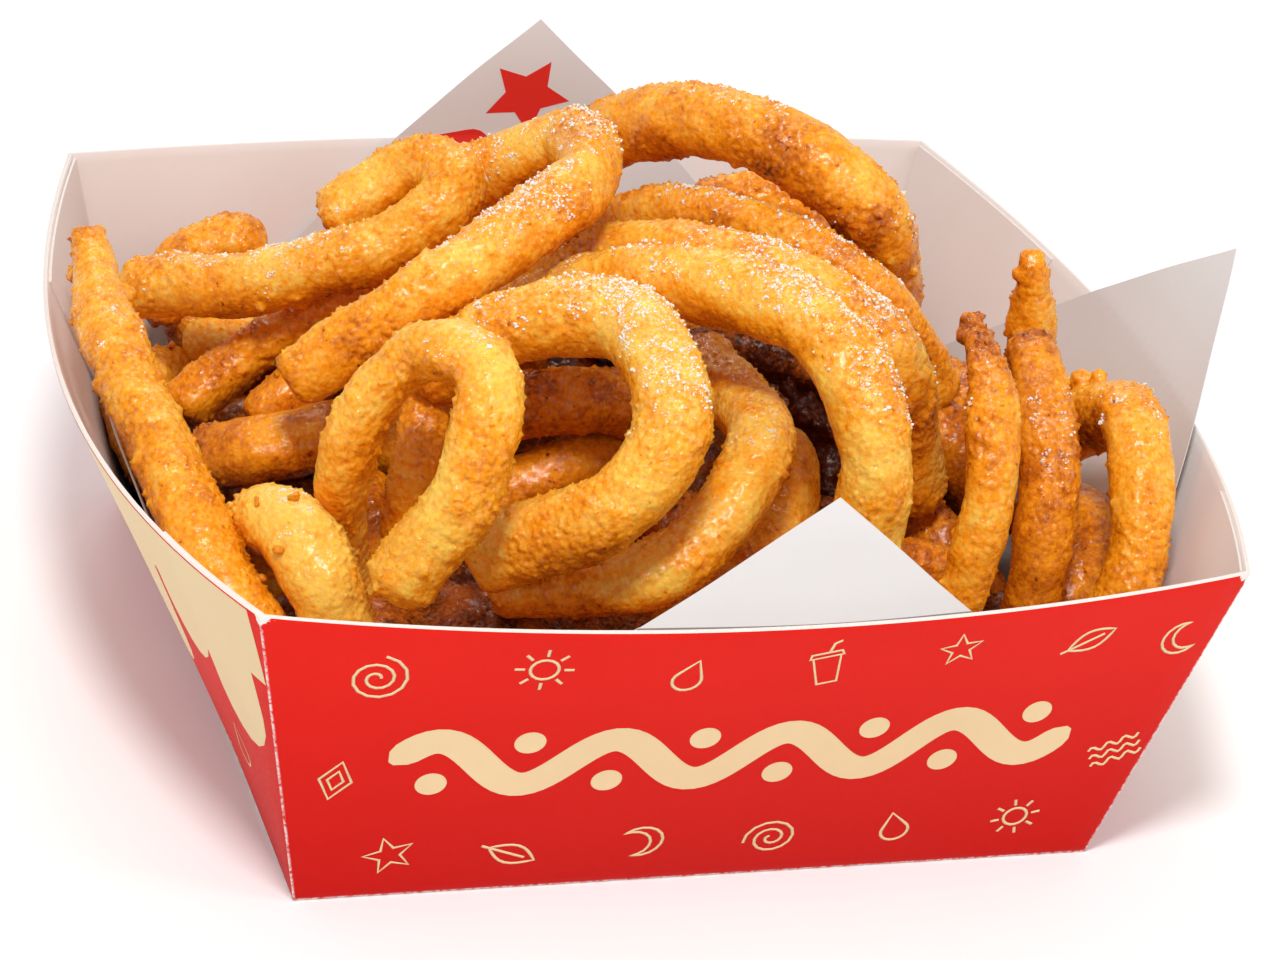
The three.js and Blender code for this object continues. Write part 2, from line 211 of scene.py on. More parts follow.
def mixColours(tree, factor, first, second):
    mix = addNode(tree, "ShaderNodeMix", data_type="RGBA")
    for index, value in ((0, factor), (6, first), (7, second)):
        feed(mix.inputs[index], value)
    return mix.outputs[2]


def remap(tree, source, low, high, toLow=0.0, toHigh=1.0):
    node = addNode(tree, "ShaderNodeMapRange")
    for index, value in enumerate((source, low, high, toLow, toHigh)):
        feed(node.inputs[index], value)
    return node.outputs["Result"]


def calculate(tree, operation, first, second=0.0, clamped=False):
    node = addNode(tree, "ShaderNodeMath", operation=operation, use_clamp=clamped)
    feed(node.inputs[0], first)
    feed(node.inputs[1], second)
    return node.outputs[0]


def noiseValue(tree, place, scale, detail=4.0, roughness=0.5):
    node = addNode(tree, "ShaderNodeTexNoise")
    setInputs(node, vector=place, scale=scale, detail=detail, roughness=roughness)
    return node.outputs["Fac"]


def patchesGroup():  # soft uneven patches of a given size, as a mask and as a fine grain
    group = bpy.data.node_groups.new("patches", "ShaderNodeTree")
    sockets = group.interface
    sockets.new_socket("Vector", in_out="INPUT", socket_type="NodeSocketVector")
    for name in ("Patch Size", "Grain Size", "Contrast"):
        sockets.new_socket(name, in_out="INPUT", socket_type="NodeSocketFloat")
    for name in ("Mask", "Grain"):
        sockets.new_socket(name, in_out="OUTPUT", socket_type="NodeSocketFloat")
    start = addNode(group, "NodeGroupInput").outputs
    end = addNode(group, "NodeGroupOutput")
    patch, grain = (noiseValue(group, start["Vector"], calculate(group, "DIVIDE", 1.0, start[size]))
                    for size in ("Patch Size", "Grain Size"))
    steep = calculate(group, "DIVIDE", calculate(group, "SUBTRACT", patch, 0.5), start["Contrast"])
    setInputs(end, mask=calculate(group, "ADD", steep, 0.5, clamped=True), grain=grain)
    arrangeNodes(group)
    return group


patches = patchesGroup()


def usePatches(tree, place, patchSize, grainSize, contrast):  # sizes in metres
    node = addNode(tree, "ShaderNodeGroup", node_tree=patches)
    setInputs(node, vector=place, patchSize=patchSize, grainSize=grainSize, contrast=contrast)
    return node.outputs["Mask"], node.outputs["Grain"]


def readValue(tree, name):
    return addNode(tree, "ShaderNodeAttribute", attribute_name=name).outputs["Fac"]


def splitPlace(tree, place):
    return setInputs(addNode(tree, "ShaderNodeSeparateXYZ"), vector=place).outputs


def bumpFrom(tree, height, distance, strength=1.0, **normal):
    bump = addNode(tree, "ShaderNodeBump")
    setInputs(bump, height=height, distance=distance, strength=strength, **normal)
    return bump.outputs["Normal"]


def finishMaterial(material, **values):
    tree = material.node_tree
    shader = setInputs(addNode(tree, "ShaderNodeBsdfPrincipled"), **values)
    feed(addNode(tree, "ShaderNodeOutputMaterial").inputs["Surface"], shader.outputs[0])
    arrangeNodes(tree)
    return material


traySizes = {  # millimetres
    "rimHalf": 80, "baseHalf": 67, "height": 60, "board": 0.8,
    "frontBow": 8, "frontDip": 1.5, "sideBow": 15, "sideDip": 4,
    "cuts": 31,  # cuts across each wall and the base
    "edgeBevel": 0.14,
    "tabThick": 0.5, "tabBevel": 0.08, "tabGap": 0.02, "backTab": 42, "frontTab": 30, "tabTaper": 14,
    "tabLow": 0.04, "tabHigh": 0.995,  # share of the wall's height at the tabs' ends
    "tabStart": 0.994,  # share of the half wall where a tab starts, clear of the corner
}

boardLooks = {
    "red": (0.80, 0.015, 0.008, 1),
    "redDeep": (0.75, 0.012, 0.006, 1),
    # painted shade: the printed red is darkened towards the base
    "redLow": (0.53, 0.003, 0.001, 1),  # towards the base
    "lowReach": 0.05, "lowShare": 0.85,
    "white": (0.82, 0.745, 0.71, 1),
    "whiteDull": (0.78, 0.69, 0.65, 1),
    "edge": (0.88, 0.82, 0.77, 1),
    "edgeDull": (0.72, 0.60, 0.52, 1),
    "cream": (0.88, 0.68, 0.39, 1),
    "creamDeep": (0.82, 0.62, 0.35, 1),
    "creaseWidth": 0.00028,  # white showing along the folds
    "chipReach": 0.0028,  # worn spots near the rim's corners
    "grainHeight": 0.00002, "fibreHeight": 0.00004,
}


def creaseMask(tree, place):  # 1 along the upright folds and the base folds, and in the worn spots
    axes = splitPlace(tree, place)
    sideX, sideY = (calculate(tree, "ABSOLUTE", axes[name]) for name in "XY")
    apart = calculate(tree, "ABSOLUTE", calculate(tree, "SUBTRACT", sideX, sideY))
    nearest = calculate(tree, "MINIMUM", apart, axes["Z"])
    width = boardLooks["creaseWidth"]
    crease = remap(tree, nearest, width * 0.4, width * 1.6, 1.0, 0.0)
    below = calculate(tree, "SUBTRACT", traySizes["height"] * mm, axes["Z"])
    corner = calculate(tree, "ADD", apart, below)
    ragged = calculate(tree, "MULTIPLY", noiseValue(tree, place, 700, 3, 0.6), boardLooks["chipReach"] * 2)
    chip = remap(tree, calculate(tree, "SUBTRACT", ragged, corner), 0.0005, 0.0007)
    return crease, chip


def printedBoard():
    material, tree, place = newMaterial("printedBoard")
    mask, grain = usePatches(tree, place, 0.03, 0.0007, 0.6)
    red = mixColours(tree, mask, boardLooks["red"], boardLooks["redDeep"])
    # painted shade: the red darkens towards the base
    height = splitPlace(tree, place)["Z"]
    low = remap(tree, height, 0.0, boardLooks["lowReach"], boardLooks["lowShare"], 0.0)
    red = mixColours(tree, low, red, boardLooks["redLow"])
    crease, chip = creaseMask(tree, place)
    worn = calculate(tree, "MULTIPLY", crease, remap(tree, grain, 0.35, 0.6))
    worn = calculate(tree, "MAXIMUM", worn, chip)
    return finishMaterial(
        material, baseColor=mixColours(tree, worn, red, boardLooks["edge"]),
        normal=bumpFrom(tree, grain, boardLooks["grainHeight"], 0.6),
        roughness=remap(tree, grain, 0.3, 0.7, 0.42, 0.55), specularIorLevel=0.08)


def plainBoard():
    material, tree, place = newMaterial("plainBoard")
    mask, grain = usePatches(tree, place, 0.02, 0.0005, 0.7)
    return finishMaterial(
        material, baseColor=mixColours(tree, mask, boardLooks["white"], boardLooks["whiteDull"]),
        normal=bumpFrom(tree, grain, boardLooks["grainHeight"], 0.5), roughness=0.6)


def cutBoard():
    material, tree, place = newMaterial("cutBoard")
    fibre = noiseValue(tree, place, 2600, 5)
    return finishMaterial(
        material, baseColor=mixColours(tree, fibre, boardLooks["edge"], boardLooks["edgeDull"]),
        normal=bumpFrom(tree, fibre, boardLooks["fibreHeight"], 0.8), roughness=0.8)


def inkMaterial(name, colour, deeper):
    material, tree, place = newMaterial(name)
    mask, grain = usePatches(tree, place, 0.02, 0.0006, 0.6)
    return finishMaterial(
        material, baseColor=mixColours(tree, mask, colour, deeper),
        normal=bumpFrom(tree, grain, boardLooks["grainHeight"], 0.5), roughness=0.5, specularIorLevel=0.16)


linerLooks = {
    "paper": (0.68, 0.645, 0.63, 1),
    "paperDull": (0.645, 0.605, 0.59, 1),
    "free": (0.80, 0.79, 0.785, 1),  # where the sheet stands free and light comes through
    "freeFrom": 0.066, "freeTo": 0.095,  # height of that change
    "oil": (0.74, 0.63, 0.50, 1),
    "ink": (0.72, 0.03, 0.02, 1),
    "inkDeep": (0.66, 0.025, 0.018, 1),
    "grainHeight": 0.00003, "blotScale": 130,
}


def greaseproofPaper():
    material, tree, place = newMaterial("greaseproofPaper")
    mask, grain = usePatches(tree, place, 0.025, 0.0009, 0.6)
    clean = mixColours(tree, mask, linerLooks["paper"], linerLooks["paperDull"])
    free = remap(tree, splitPlace(tree, place)["Z"], linerLooks["freeFrom"], linerLooks["freeTo"])
    clean = mixColours(tree, free, clean, linerLooks["free"])
    spots = remap(tree, noiseValue(tree, place, linerLooks["blotScale"]), 0.35, 0.65)
    blot = calculate(tree, "MULTIPLY", readValue(tree, "oil"), spots)
    return finishMaterial(
        material, baseColor=mixColours(tree, blot, clean, linerLooks["oil"]),
        normal=bumpFrom(tree, grain, linerLooks["grainHeight"], 0.5), roughness=0.5, specularIorLevel=0.25)


batterLooks = {
    "pale": (1.0, 0.58, 0.085, 1),
    "golden": (0.96, 0.335, 0.007, 1),
    "brown": (0.54, 0.125, 0.003, 1),
    "dark": (0.075, 0.009, 0.001, 1),
    "powder": (0.93, 0.80, 0.64, 1),
    "sheen": (1.0, 0.86, 0.66, 1),
    "stops": ((0.10, "pale"), (0.42, "golden"), (0.74, "brown"), (0.99, "dark")),
    "beadScale": 950, "beadHeight": 0.0003, "fineScale": 1500, "fineHeight": 0.0006,
    "speckScale": 1500, "speck": (0.54, 0.66),  # powder shows where the noise lies above these
    "glintScale": 1100,
    "glint": (0.51, 0.56),  # noise between these turns dull batter into oily spots
    "glintRoughness": (0.5, 0.13), "glintLevel": (0.09, 1.0),
}

batterShades = [  # what makes batter browner or paler: its source, from and to, and how much it adds
    ("spots", 0, 1, -0.17, 0.19), ("blots", 0, 1, -0.11, 0.12), ("blotGrain", 0.3, 0.7, 0.10, -0.10),
    ("spotGrain", 0.66, 0.78, 0.0, 0.45), ("crag", 0.1, 1.0, 0.0, 0.16),
]


def batterMaterial():
    material, tree, place = newMaterial("batter")
    sources = {"crag": readValue(tree, "crag")}
    sources["spots"], sources["spotGrain"] = usePatches(tree, place, 0.011, 0.0013, 0.5)
    sources["blots"], sources["blotGrain"] = usePatches(tree, place, 0.0042, 0.0006, 0.45)
    # the fry's real browning together with its painted shade
    shade = readValue(tree, "toast")
    for name, *span in batterShades:
        shade = calculate(tree, "ADD", shade, remap(tree, sources[name], *span))
    ramp = addNode(tree, "ShaderNodeValToRGB")
    feed(ramp.inputs[0], shade)
    elements = ramp.color_ramp.elements
    while len(elements) < len(batterLooks["stops"]):
        elements.new(0.5)
    for element, (position, colourName) in zip(elements, batterLooks["stops"]):
        element.position = position
        element.color = batterLooks[colourName]
    speck = remap(tree, noiseValue(tree, place, batterLooks["speckScale"], 3), *batterLooks["speck"])
    dusted = calculate(tree, "MULTIPLY", readValue(tree, "dust"), speck)
    bead = setInputs(addNode(tree, "ShaderNodeTexVoronoi"), vector=place, scale=batterLooks["beadScale"])
    rounded = remap(tree, bead.outputs["Distance"], 0.0, 0.8, 1.0, 0.0)
    normal = bumpFrom(tree, rounded, batterLooks["beadHeight"], 0.5)
    fine = noiseValue(tree, place, batterLooks["fineScale"], 4, 0.65)
    normal = bumpFrom(tree, fine, batterLooks["fineHeight"], 0.38, normal=normal)
    glint = noiseValue(tree, place, batterLooks["glintScale"], 2)
    colour = mixColours(tree, dusted, ramp.outputs["Color"], batterLooks["powder"])
    return finishMaterial(
        material, baseColor=colour, normal=normal,
        roughness=remap(tree, glint, *batterLooks["glint"], *batterLooks["glintRoughness"]),
        specularIorLevel=remap(tree, glint, *batterLooks["glint"], *batterLooks["glintLevel"]),
        specularTint=batterLooks["sheen"], coatWeight=0.26, coatRoughness=0.22,
        subsurfaceWeight=0.4, subsurfaceScale=0.004, subsurfaceRadius=(1.0, 0.32, 0.08))


def powderMaterial():
    material, tree, place = newMaterial("powder")
    grain = noiseValue(tree, place, 1500, 2)
    return finishMaterial(
        material, baseColor=mixColours(tree, grain, powderSizes["colour"], powderSizes["dull"]),
        normal=bumpFrom(tree, grain, powderSizes["grainHeight"], 0.5), roughness=0.7,
        subsurfaceWeight=0.2, subsurfaceScale=0.0005)


print("materials ready")


def halfAt(rise):
    return traySizes["baseHalf"] + (traySizes["rimHalf"] - traySizes["baseHalf"]) * rise


def wallSlant():  # height of a wall along its slope
    return math.hypot(traySizes["height"], traySizes["rimHalf"] - traySizes["baseHalf"])


def wallPoint(side, along, rise, inset):  # side 0 front, 1 right, 2 back, 3 left
    half = halfAt(rise) - inset
    belly = rise * (1 - along * along)
    bow = traySizes["sideBow" if side % 2 else "frontBow"] * belly
    dip = traySizes["sideDip" if side % 2 else "frontDip"] * belly
    point = Vector((along * half, -half - bow, traySizes["height"] * rise - dip)) * mm
    point.rotate(Matrix.Rotation(side * math.pi / 2, 3, "Z"))
    return point


def bowWalls(piece):  # moves the points of the straight walls out onto the bowed ones
    height = traySizes["height"] * mm
    for vertex in piece.data.vertices:
        if vertex.co.z < 1e-6:
            continue
        rise = vertex.co.z / height
        angle = math.atan2(vertex.co.x, -vertex.co.y)
        side = round(angle / (math.pi / 2)) % 4
        turned = vertex.co.copy()
        turned.rotate(Matrix.Rotation(-side * math.pi / 2, 3, "Z"))
        along = max(-1, min(1, turned.x / (halfAt(rise) * mm)))
        vertex.co = wallPoint(side, along, rise, 0)


def trayShell():
    base = traySizes["baseHalf"] * mm
    bpy.ops.mesh.primitive_plane_add(size=2 * base, location=(0, 0, 0))
    shell = startPiece("trayShell")
    editPiece(shell, "EDGE")
    bpy.ops.mesh.extrude_edges_move(TRANSFORM_OT_translate={"value": (0, 0, traySizes["height"] * mm)})
    flare = traySizes["rimHalf"] / traySizes["baseHalf"]
    bpy.ops.transform.resize(value=(flare, flare, 1), center_override=(0, 0, 0))
    bpy.ops.mesh.select_all(action="SELECT")
    bpy.ops.mesh.subdivide(number_cuts=traySizes["cuts"])
    bpy.ops.mesh.normals_make_consistent(inside=False)
    bpy.ops.object.mode_set(mode="OBJECT")
    lowest = min(shell.data.polygons, key=lambda face: face.center.z)
    if lowest.normal.z > 0:
        editPiece(shell)
        bpy.ops.mesh.flip_normals()
        bpy.ops.object.mode_set(mode="OBJECT")
    bowWalls(shell)
    wear(shell, printedBoard(), plainBoard(), cutBoard())
    useModifier(shell, "SOLIDIFY", thickness=traySizes["board"] * mm, offset=-1, use_even_offset=True,
                material_offset=1, material_offset_rim=2)
    useModifier(shell, "BEVEL", width=traySizes["edgeBevel"] * mm, segments=2, limit_method="ANGLE",
                angle_limit=math.radians(40))
    smoothPiece(shell, 30)
    return shell


def glueTab(side, end, length):  # a patch of the next panel, glued inside a side wall
    bpy.ops.mesh.primitive_grid_add(x_subdivisions=12, y_subdivisions=16, size=2)
    tab = startPiece(f"glueTab{side}{'a' if end < 0 else 'b'}")
    low, gap = traySizes["tabLow"], traySizes["tabGap"]
    for vertex in tab.data.vertices:
        across = (vertex.co.x + 1) / 2
        rise = low + (traySizes["tabHigh"] - low) * (vertex.co.y + 1) / 2
        span = (length - traySizes["tabTaper"] * (1 - rise)) / halfAt(rise)
        along = end * (traySizes["tabStart"] - span * across)
        vertex.co = wallPoint(side, along, rise, traySizes["board"] + gap)
    wear(tab, plainBoard(), plainBoard(), cutBoard())
    editPiece(tab)
    bpy.ops.mesh.normals_make_consistent(inside=False)
    bpy.ops.object.mode_set(mode="OBJECT")
    middle = tab.data.polygons[len(tab.data.polygons) // 2]
    inward = middle.normal.dot(Vector((middle.center.x, middle.center.y, 0))) < 0
    useModifier(tab, "SOLIDIFY", thickness=(traySizes["tabThick"] - 2 * gap) * mm, offset=1 if inward else -1,
                use_even_offset=True, material_offset_rim=2)
    useModifier(tab, "BEVEL", width=traySizes["tabBevel"] * mm, segments=1, limit_method="ANGLE",
                angle_limit=math.radians(50))
    smoothPiece(tab, 30)
    return tab


def buildTray():
    pieces = [trayShell()]
    for side in (1, 3):
        for end in (-1, 1):
            atBack = (side == 1) == (end > 0)
            pieces.append(glueTab(side, end, traySizes["backTab" if atBack else "frontTab"]))
    for piece in pieces:
        dress(piece, "tray")


buildTray()
print("tray ready")


printSizes = {  # millimetres on the flat panel
    "line": 0.55,
    "lift": 0.03,
    "ink": 0.04,
    "grid": 5,  # longest stretch that stays straight on a bowed wall
}


def flatCurve(points, closed=True, line=None):  # a filled shape, or a line of that width; in millimetres
    places = [(x * mm, y * mm, 0) for x, y in points]
    piece = polyCurve("printLine", places, closed, "2D" if line is None else "3D")
    curve = piece.data
    if line is None:
        curve.fill_mode = "BOTH"
        curve.extrude = printSizes["ink"] * mm / 2
        return meshFromCurve(piece)
    curve.bevel_depth = line * mm / 2
    curve.bevel_resolution = 0
    piece = meshFromCurve(piece)
    for vertex in piece.data.vertices:
        vertex.co.z *= printSizes["ink"] / line
    return piece


def circlePoints(x, y, radius, count=16, start=0.0, sweep=360.0):
    steps = count if sweep == 360.0 else count - 1
    angles = [math.radians(start + sweep * k / steps) for k in range(count)]
    return [(x + radius * math.cos(a), y + radius * math.sin(a)) for a in angles]


def starPoints(x, y, radius, tips=5, inner=0.42, turn=90.0):
    points = []
    for k in range(2 * tips):
        reach = radius if k % 2 == 0 else radius * inner
        angle = math.radians(turn + 180 * k / tips)
        points.append((x + reach * math.cos(angle), y + reach * math.sin(angle)))
    return points


def spiralPoints(x, y, radius, turns=2.2, start=0.0):
    count = int(turns * 14)
    points = []
    for k in range(count + 1):
        reach = radius * (0.12 + 0.88 * k / count)
        angle = math.radians(start) + turns * 2 * math.pi * k / count
        points.append((x + reach * math.cos(angle), y + reach * math.sin(angle)))
    return points


def placed(points, x, y, turn, size):
    angle = math.radians(turn)
    return [(x + size * (px * math.cos(angle) - py * math.sin(angle)),
             y + size * (px * math.sin(angle) + py * math.cos(angle))) for px, py in points]


def unitMotifs():  # [(points, closed)] of each line motif, about 2 units across
    rays = []
    for k in range(8):
        x, y = math.cos(math.radians(45 * k)), math.sin(math.radians(45 * k))
        rays.append(([(0.66 * x, 0.66 * y), (x, y)], False))
    leaf = [(k / 4 - 1, 0.5 * math.sin(math.pi * (k / 4) / 2)) for k in range(9)]
    leaf += [(x, -y) for x, y in reversed(leaf[1:-1])]
    cup = [(-0.55, 0.6), (0.55, 0.6), (0.4, -1), (-0.4, -1)]
    lid = [(-0.68, 0.6), (0.68, 0.6), (0.6, 0.85), (-0.6, 0.85)]
    straw = [(0.1, 0.85), (0.3, 1.35), (0.6, 1.45)]
    diamond = [(0, 1), (0.62, 0), (0, -1), (-0.62, 0)]
    return {
        "star": [(starPoints(0, 0, 1), True)],
        "spiral": [(spiralPoints(0, 0, 1), False)],
        "sun": [(circlePoints(0, 0, 0.48), True)] + rays,
        "leaf": [(leaf, True), ([(-1.3, 0), (0.55, 0)], False)],
        "cup": [(cup, True), (lid, True), (straw, False)],
        "moon": [(circlePoints(0, 0, 1, 12, 60, 240) + circlePoints(0.42, 0, 0.86, 10, 283, -206), True)],
        "drop": [([(0, 1.15)] + circlePoints(0, -0.25, 0.68, 13, 35, -250), True)],
        "waves": [([(k / 8 - 1, row + 0.14 * math.sin(k * math.pi / 2.6)) for k in range(17)], False)
                  for row in (-0.45, 0, 0.45)],
        "diamond": [(diamond, True), ([(x * 0.5, y * 0.5) for x, y in diamond], True)],
    }


motifs = unitMotifs()


def motifLines(kind, x, y, turn, size):
    return [(placed(points, x, y, turn, size), closed) for points, closed in motifs[kind]]


def cutByGrid(piece, wide, low, high):  # so that long faces can follow a bowed wall
    step = printSizes["grid"]
    editPiece(piece, "VERT")
    for k in range(-int(wide // step), int(wide // step) + 1):
        bpy.ops.mesh.select_all(action="SELECT")
        bpy.ops.mesh.bisect(plane_co=(k * step * mm, 0, 0), plane_no=(1, 0, 0))
    for k in range(int(low // step), int(high // step) + 1):
        bpy.ops.mesh.select_all(action="SELECT")
        bpy.ops.mesh.bisect(plane_co=(0, k * step * mm, 0), plane_no=(0, 1, 0))
    bpy.ops.object.mode_set(mode="OBJECT")


def wrapOnWall(piece, side):  # x runs along the wall, y up it from the base fold
    slant = wallSlant()
    for vertex in piece.data.vertices:
        rise = vertex.co.y / mm / slant
        along = vertex.co.x / mm / halfAt(rise)
        vertex.co = wallPoint(side, along, rise, -(printSizes["lift"] + vertex.co.z / mm))


def waveBand(x0, x1, middle, swing, periods, thick):  # outline of a bold wave with round ends
    upper, lower = [], []
    count = periods * 26
    for k in range(count + 1):
        t = k / count
        x = x0 + (x1 - x0) * t
        phase = 2 * math.pi * periods * t
        slope = swing * math.cos(phase) * 2 * math.pi * periods / (x1 - x0)
        y = middle + swing * math.sin(phase)
        fromEnd = min(t, 1 - t) * (x1 - x0) / (thick / 2)
        half = thick / 2 * math.sqrt(max(1 - max(1 - fromEnd, 0) ** 2, 0.04))
        length = math.hypot(1, slope)
        upper.append((x - half * slope / length, y + half / length))
        lower.append((x + half * slope / length, y - half / length))
    return upper + lower[::-1]


frontMotifs = [  # kind, x, y, turn, size, in millimetres on the flat panel
    ("spiral", -61, 50, 10, 5.0), ("sun", -36, 53, 0, 4.6), ("drop", -13, 51, -14, 3.4),
    ("cup", 9, 52, 12, 4.0), ("star", 31, 53.5, 8, 3.6), ("leaf", 54, 52, 28, 4.2), ("moon", 71, 49, 20, 3.4),
    ("diamond", -64, 27, -8, 4.2), ("waves", 66, 24, 20, 4.4), ("star", -53, 9.5, 20, 4.2),
    ("leaf", -33, 8.5, -24, 4.4), ("moon", -12, 10, 200, 3.6), ("spiral", 10, 9, 120, 4.6),
    ("drop", 31, 9.5, 16, 3.4), ("sun", 52, 10, 12, 4.2),
]
sideMotifs = [
    ("star", -50, 12, 10, 4.4), ("leaf", -29, 21, 30, 4.6), ("spiral", -8, 9, 40, 5.0),
    ("cup", 14, 20, -8, 4.2), ("sun", 36, 10, 0, 4.6), ("drop", 54, 22, 14, 3.6),
]


# in millimetres on the flat panel: the wavy band and its dots, and the cream border with drips
frontBand = {
    "half": 56, "middle": 31, "swing": 5.2, "periods": 4, "thick": 5.6,
    "dotRise": 4.8, "dotRadius": 2.5,
}
dripTop = {"half": 76.5, "reach": 0.994, "valley": 47, "arch": 0.8}
dripEdge = [  # centre, half width and lowest point of each drip
    (-64, 9, 33), (-44, 8, 22), (-27, 7, 38), (-10, 9, 27), (9, 8, 40), (27, 9, 24), (46, 8, 36), (63, 9, 29),
]


def printOnWall(side, name, outlines, motifRows, wide, high):
    shapes = [flatCurve(outline) for outline in outlines]
    for row in motifRows:
        for points, closed in motifLines(*row):
            shapes.append(flatCurve(points, closed, printSizes["line"]))
    art = joinPieces(shapes, f"{name}{side}")
    cutByGrid(art, wide, 0, high)
    wrapOnWall(art, side)
    return art


def frontPrint(side):
    half, middle, periods = frontBand["half"], frontBand["middle"], frontBand["periods"]
    outlines = [waveBand(-half, half, middle, frontBand["swing"], periods, frontBand["thick"])]
    for k in range(periods):
        for sign, offset in ((1, 0.25), (-1, 0.75)):
            x = -half + 2 * half * (k + offset) / periods
            outlines.append(circlePoints(x, middle - sign * frontBand["dotRise"], frontBand["dotRadius"], 24))
    return printOnWall(side, "frontPrint", outlines, frontMotifs, 78, 60)


def dripOutline(topWide, top):
    valley = dripTop["valley"]
    points = [(topWide, top), (-topWide, top)]
    previous = -topWide
    for centre, half, low in dripEdge:
        left = centre - half
        points.append((previous, valley))
        gap = (left - previous) / 2
        for k in range(1, 6):
            angle = math.pi * k / 6
            arch = gap * dripTop["arch"] * math.sin(angle)
            points.append((left - gap - gap * math.cos(angle), valley + arch))
        points.append((left, valley))
        for k in range(9):
            angle = math.pi * k / 8
            points.append((centre - half * math.cos(angle), low + half - half * math.sin(angle)))
        previous = centre + half
    return points + [(previous, valley), (topWide, valley)]


def sidePrint(side):
    border = dripOutline(dripTop["half"], wallSlant() * dripTop["reach"])
    return printOnWall(side, "sidePrint", [border], sideMotifs, 80, 62)


def buildPrint():
    ink = inkMaterial("creamInk", boardLooks["cream"], boardLooks["creamDeep"])
    for side in range(4):
        art = sidePrint(side) if side % 2 else frontPrint(side)
        wear(art, ink)
        dress(art, "tray")


buildPrint()
print("print ready")


sheetSizes = {  # millimetres
    "gap": 0.35, "inset": 1.65, "rumple": 0.7, "cornerReach": 150, "wallRun": 60, "frontRun": 57.6,
    "skewX": 5, "skewY": -6, "bend": 6, "foldedAt": 105, "thick": 0.14, "cuts": 119, "crease": 0.5,
}
# the way each corner leaves the rim, per millimetre
leaveFront = Vector((0.28, 0.5, 0.52))
leaveRight = Vector((0.52, 0.08, 0.78))
leaveBack = Vector((0.04, 0.09, 0.9))

# red print on the sheet, in millimetres: rows turned by 45 degrees, kept to the left part
sheetPrint = {
    "rows": (95, 56, 17, -22), "pitch": 32, "start": 5,
    "band": (13, -14, 2.6, 5.4), "star": (-7, 8.2), "drop": (10, 0.5, 25, 5.6),
    "dots": ((2.5, 3.5), (2.5, -4)), "dotRadius": 2.5,
    "edge": 147, "left": -100, "right": 70, "low": -60, "grid": 145,
}


def paperReach(height, across, bow):
    rise = height / traySizes["height"]
    half = halfAt(rise) - sheetSizes["inset"]
    return half + bow * rise * max(1 - (across / half) ** 2, 0)


def sheetPoint(flatX, flatY, lift):  # where a point of the flat sheet lies, in millimetres
    flatHalf = traySizes["baseHalf"] - sheetSizes["inset"]
    climb = traySizes["height"] / wallSlant()
    pastX = max(abs(flatX) - flatHalf, 0)
    pastY = max(abs(flatY) - flatHalf, 0)
    run = max(pastX, pastY)
    wallRun = sheetSizes["frontRun" if flatY < 0 and pastY > pastX else "wallRun"]
    upX = min(pastX, wallRun) * climb
    upY = min(pastY, wallRun) * climb
    slide = min(run / wallRun, 1)
    wave = math.sin(flatX * 0.11 + 1.3) * math.cos(flatY * 0.13 - 0.4)
    pull = sheetSizes["rumple"] * (0.5 + 0.5 * wave) + lift
    x = max(-flatHalf, min(flatHalf, flatX)) + (sheetSizes["skewX"] * slide if pastY > 0 else 0)
    y = max(-flatHalf, min(flatHalf, flatY)) + (sheetSizes["skewY"] * slide if pastX > 0 else 0)
    bend = sheetSizes["bend"]
    z = traySizes["board"] + sheetSizes["gap"] + upX + upY + pull * max(1 - run / bend, 0)
    if pastX > 0:
        x = math.copysign(paperReach(upX, y, traySizes["sideBow"]) - pull * min(pastX / bend, 1), flatX)
    if pastY > 0:
        y = math.copysign(paperReach(upY, x, traySizes["frontBow"]) - pull * min(pastY / bend, 1), flatY)
    over = max(run - wallRun, 0)
    leave = leaveRight if pastX > pastY else (leaveBack if flatY > 0 else leaveFront)
    point = Vector((x, y, z)) + leave * over
    if over > 0:
        ripple = noise.noise(Vector((flatX, flatY, 3.0)) / 23) * min(over / 12, 1)
        point.z += ripple * sheetSizes["crease"]
    return point


def layOnSheet(piece, lift):  # the piece's x and y run along the flat sheet
    for vertex in piece.data.vertices:
        vertex.co = sheetPoint(vertex.co.x / mm, vertex.co.y / mm, lift + vertex.co.z / mm) * mm


def cutSheet():  # a square sheet turned by 45 degrees, with its left corner cut short
    side = sheetSizes["cornerReach"] * math.sqrt(2) * mm
    bpy.ops.mesh.primitive_plane_add(size=side, location=(0, 0, 0), rotation=(0, 0, math.pi / 4))
    paper = startPiece("linerSheet")
    placeInMesh(paper)
    editPiece(paper)
    bpy.ops.mesh.subdivide(number_cuts=sheetSizes["cuts"])
    flatHalf = traySizes["baseHalf"] - sheetSizes["inset"]
    for turn in (0, 90, 180, 270):
        wallRun = sheetSizes["frontRun" if turn == 270 else "wallRun"]
        for line in (flatHalf, flatHalf + wallRun):
            outward = (math.cos(math.radians(turn)), math.sin(math.radians(turn)), 0)
            bpy.ops.mesh.select_all(action="SELECT")
            bpy.ops.mesh.bisect(plane_co=tuple(line * mm * part for part in outward), plane_no=outward)
    bpy.ops.mesh.select_all(action="SELECT")
    bpy.ops.mesh.bisect(plane_co=(-sheetSizes["foldedAt"] * mm, 0, 0), plane_no=(-1, 0, 0), clear_outer=True)
    bpy.ops.object.mode_set(mode="OBJECT")
    return paper


def inPrint(x, y):
    onSheet = abs(x) + abs(y) < sheetPrint["edge"]
    return onSheet and sheetPrint["left"] < x < sheetPrint["right"] and y > sheetPrint["low"]


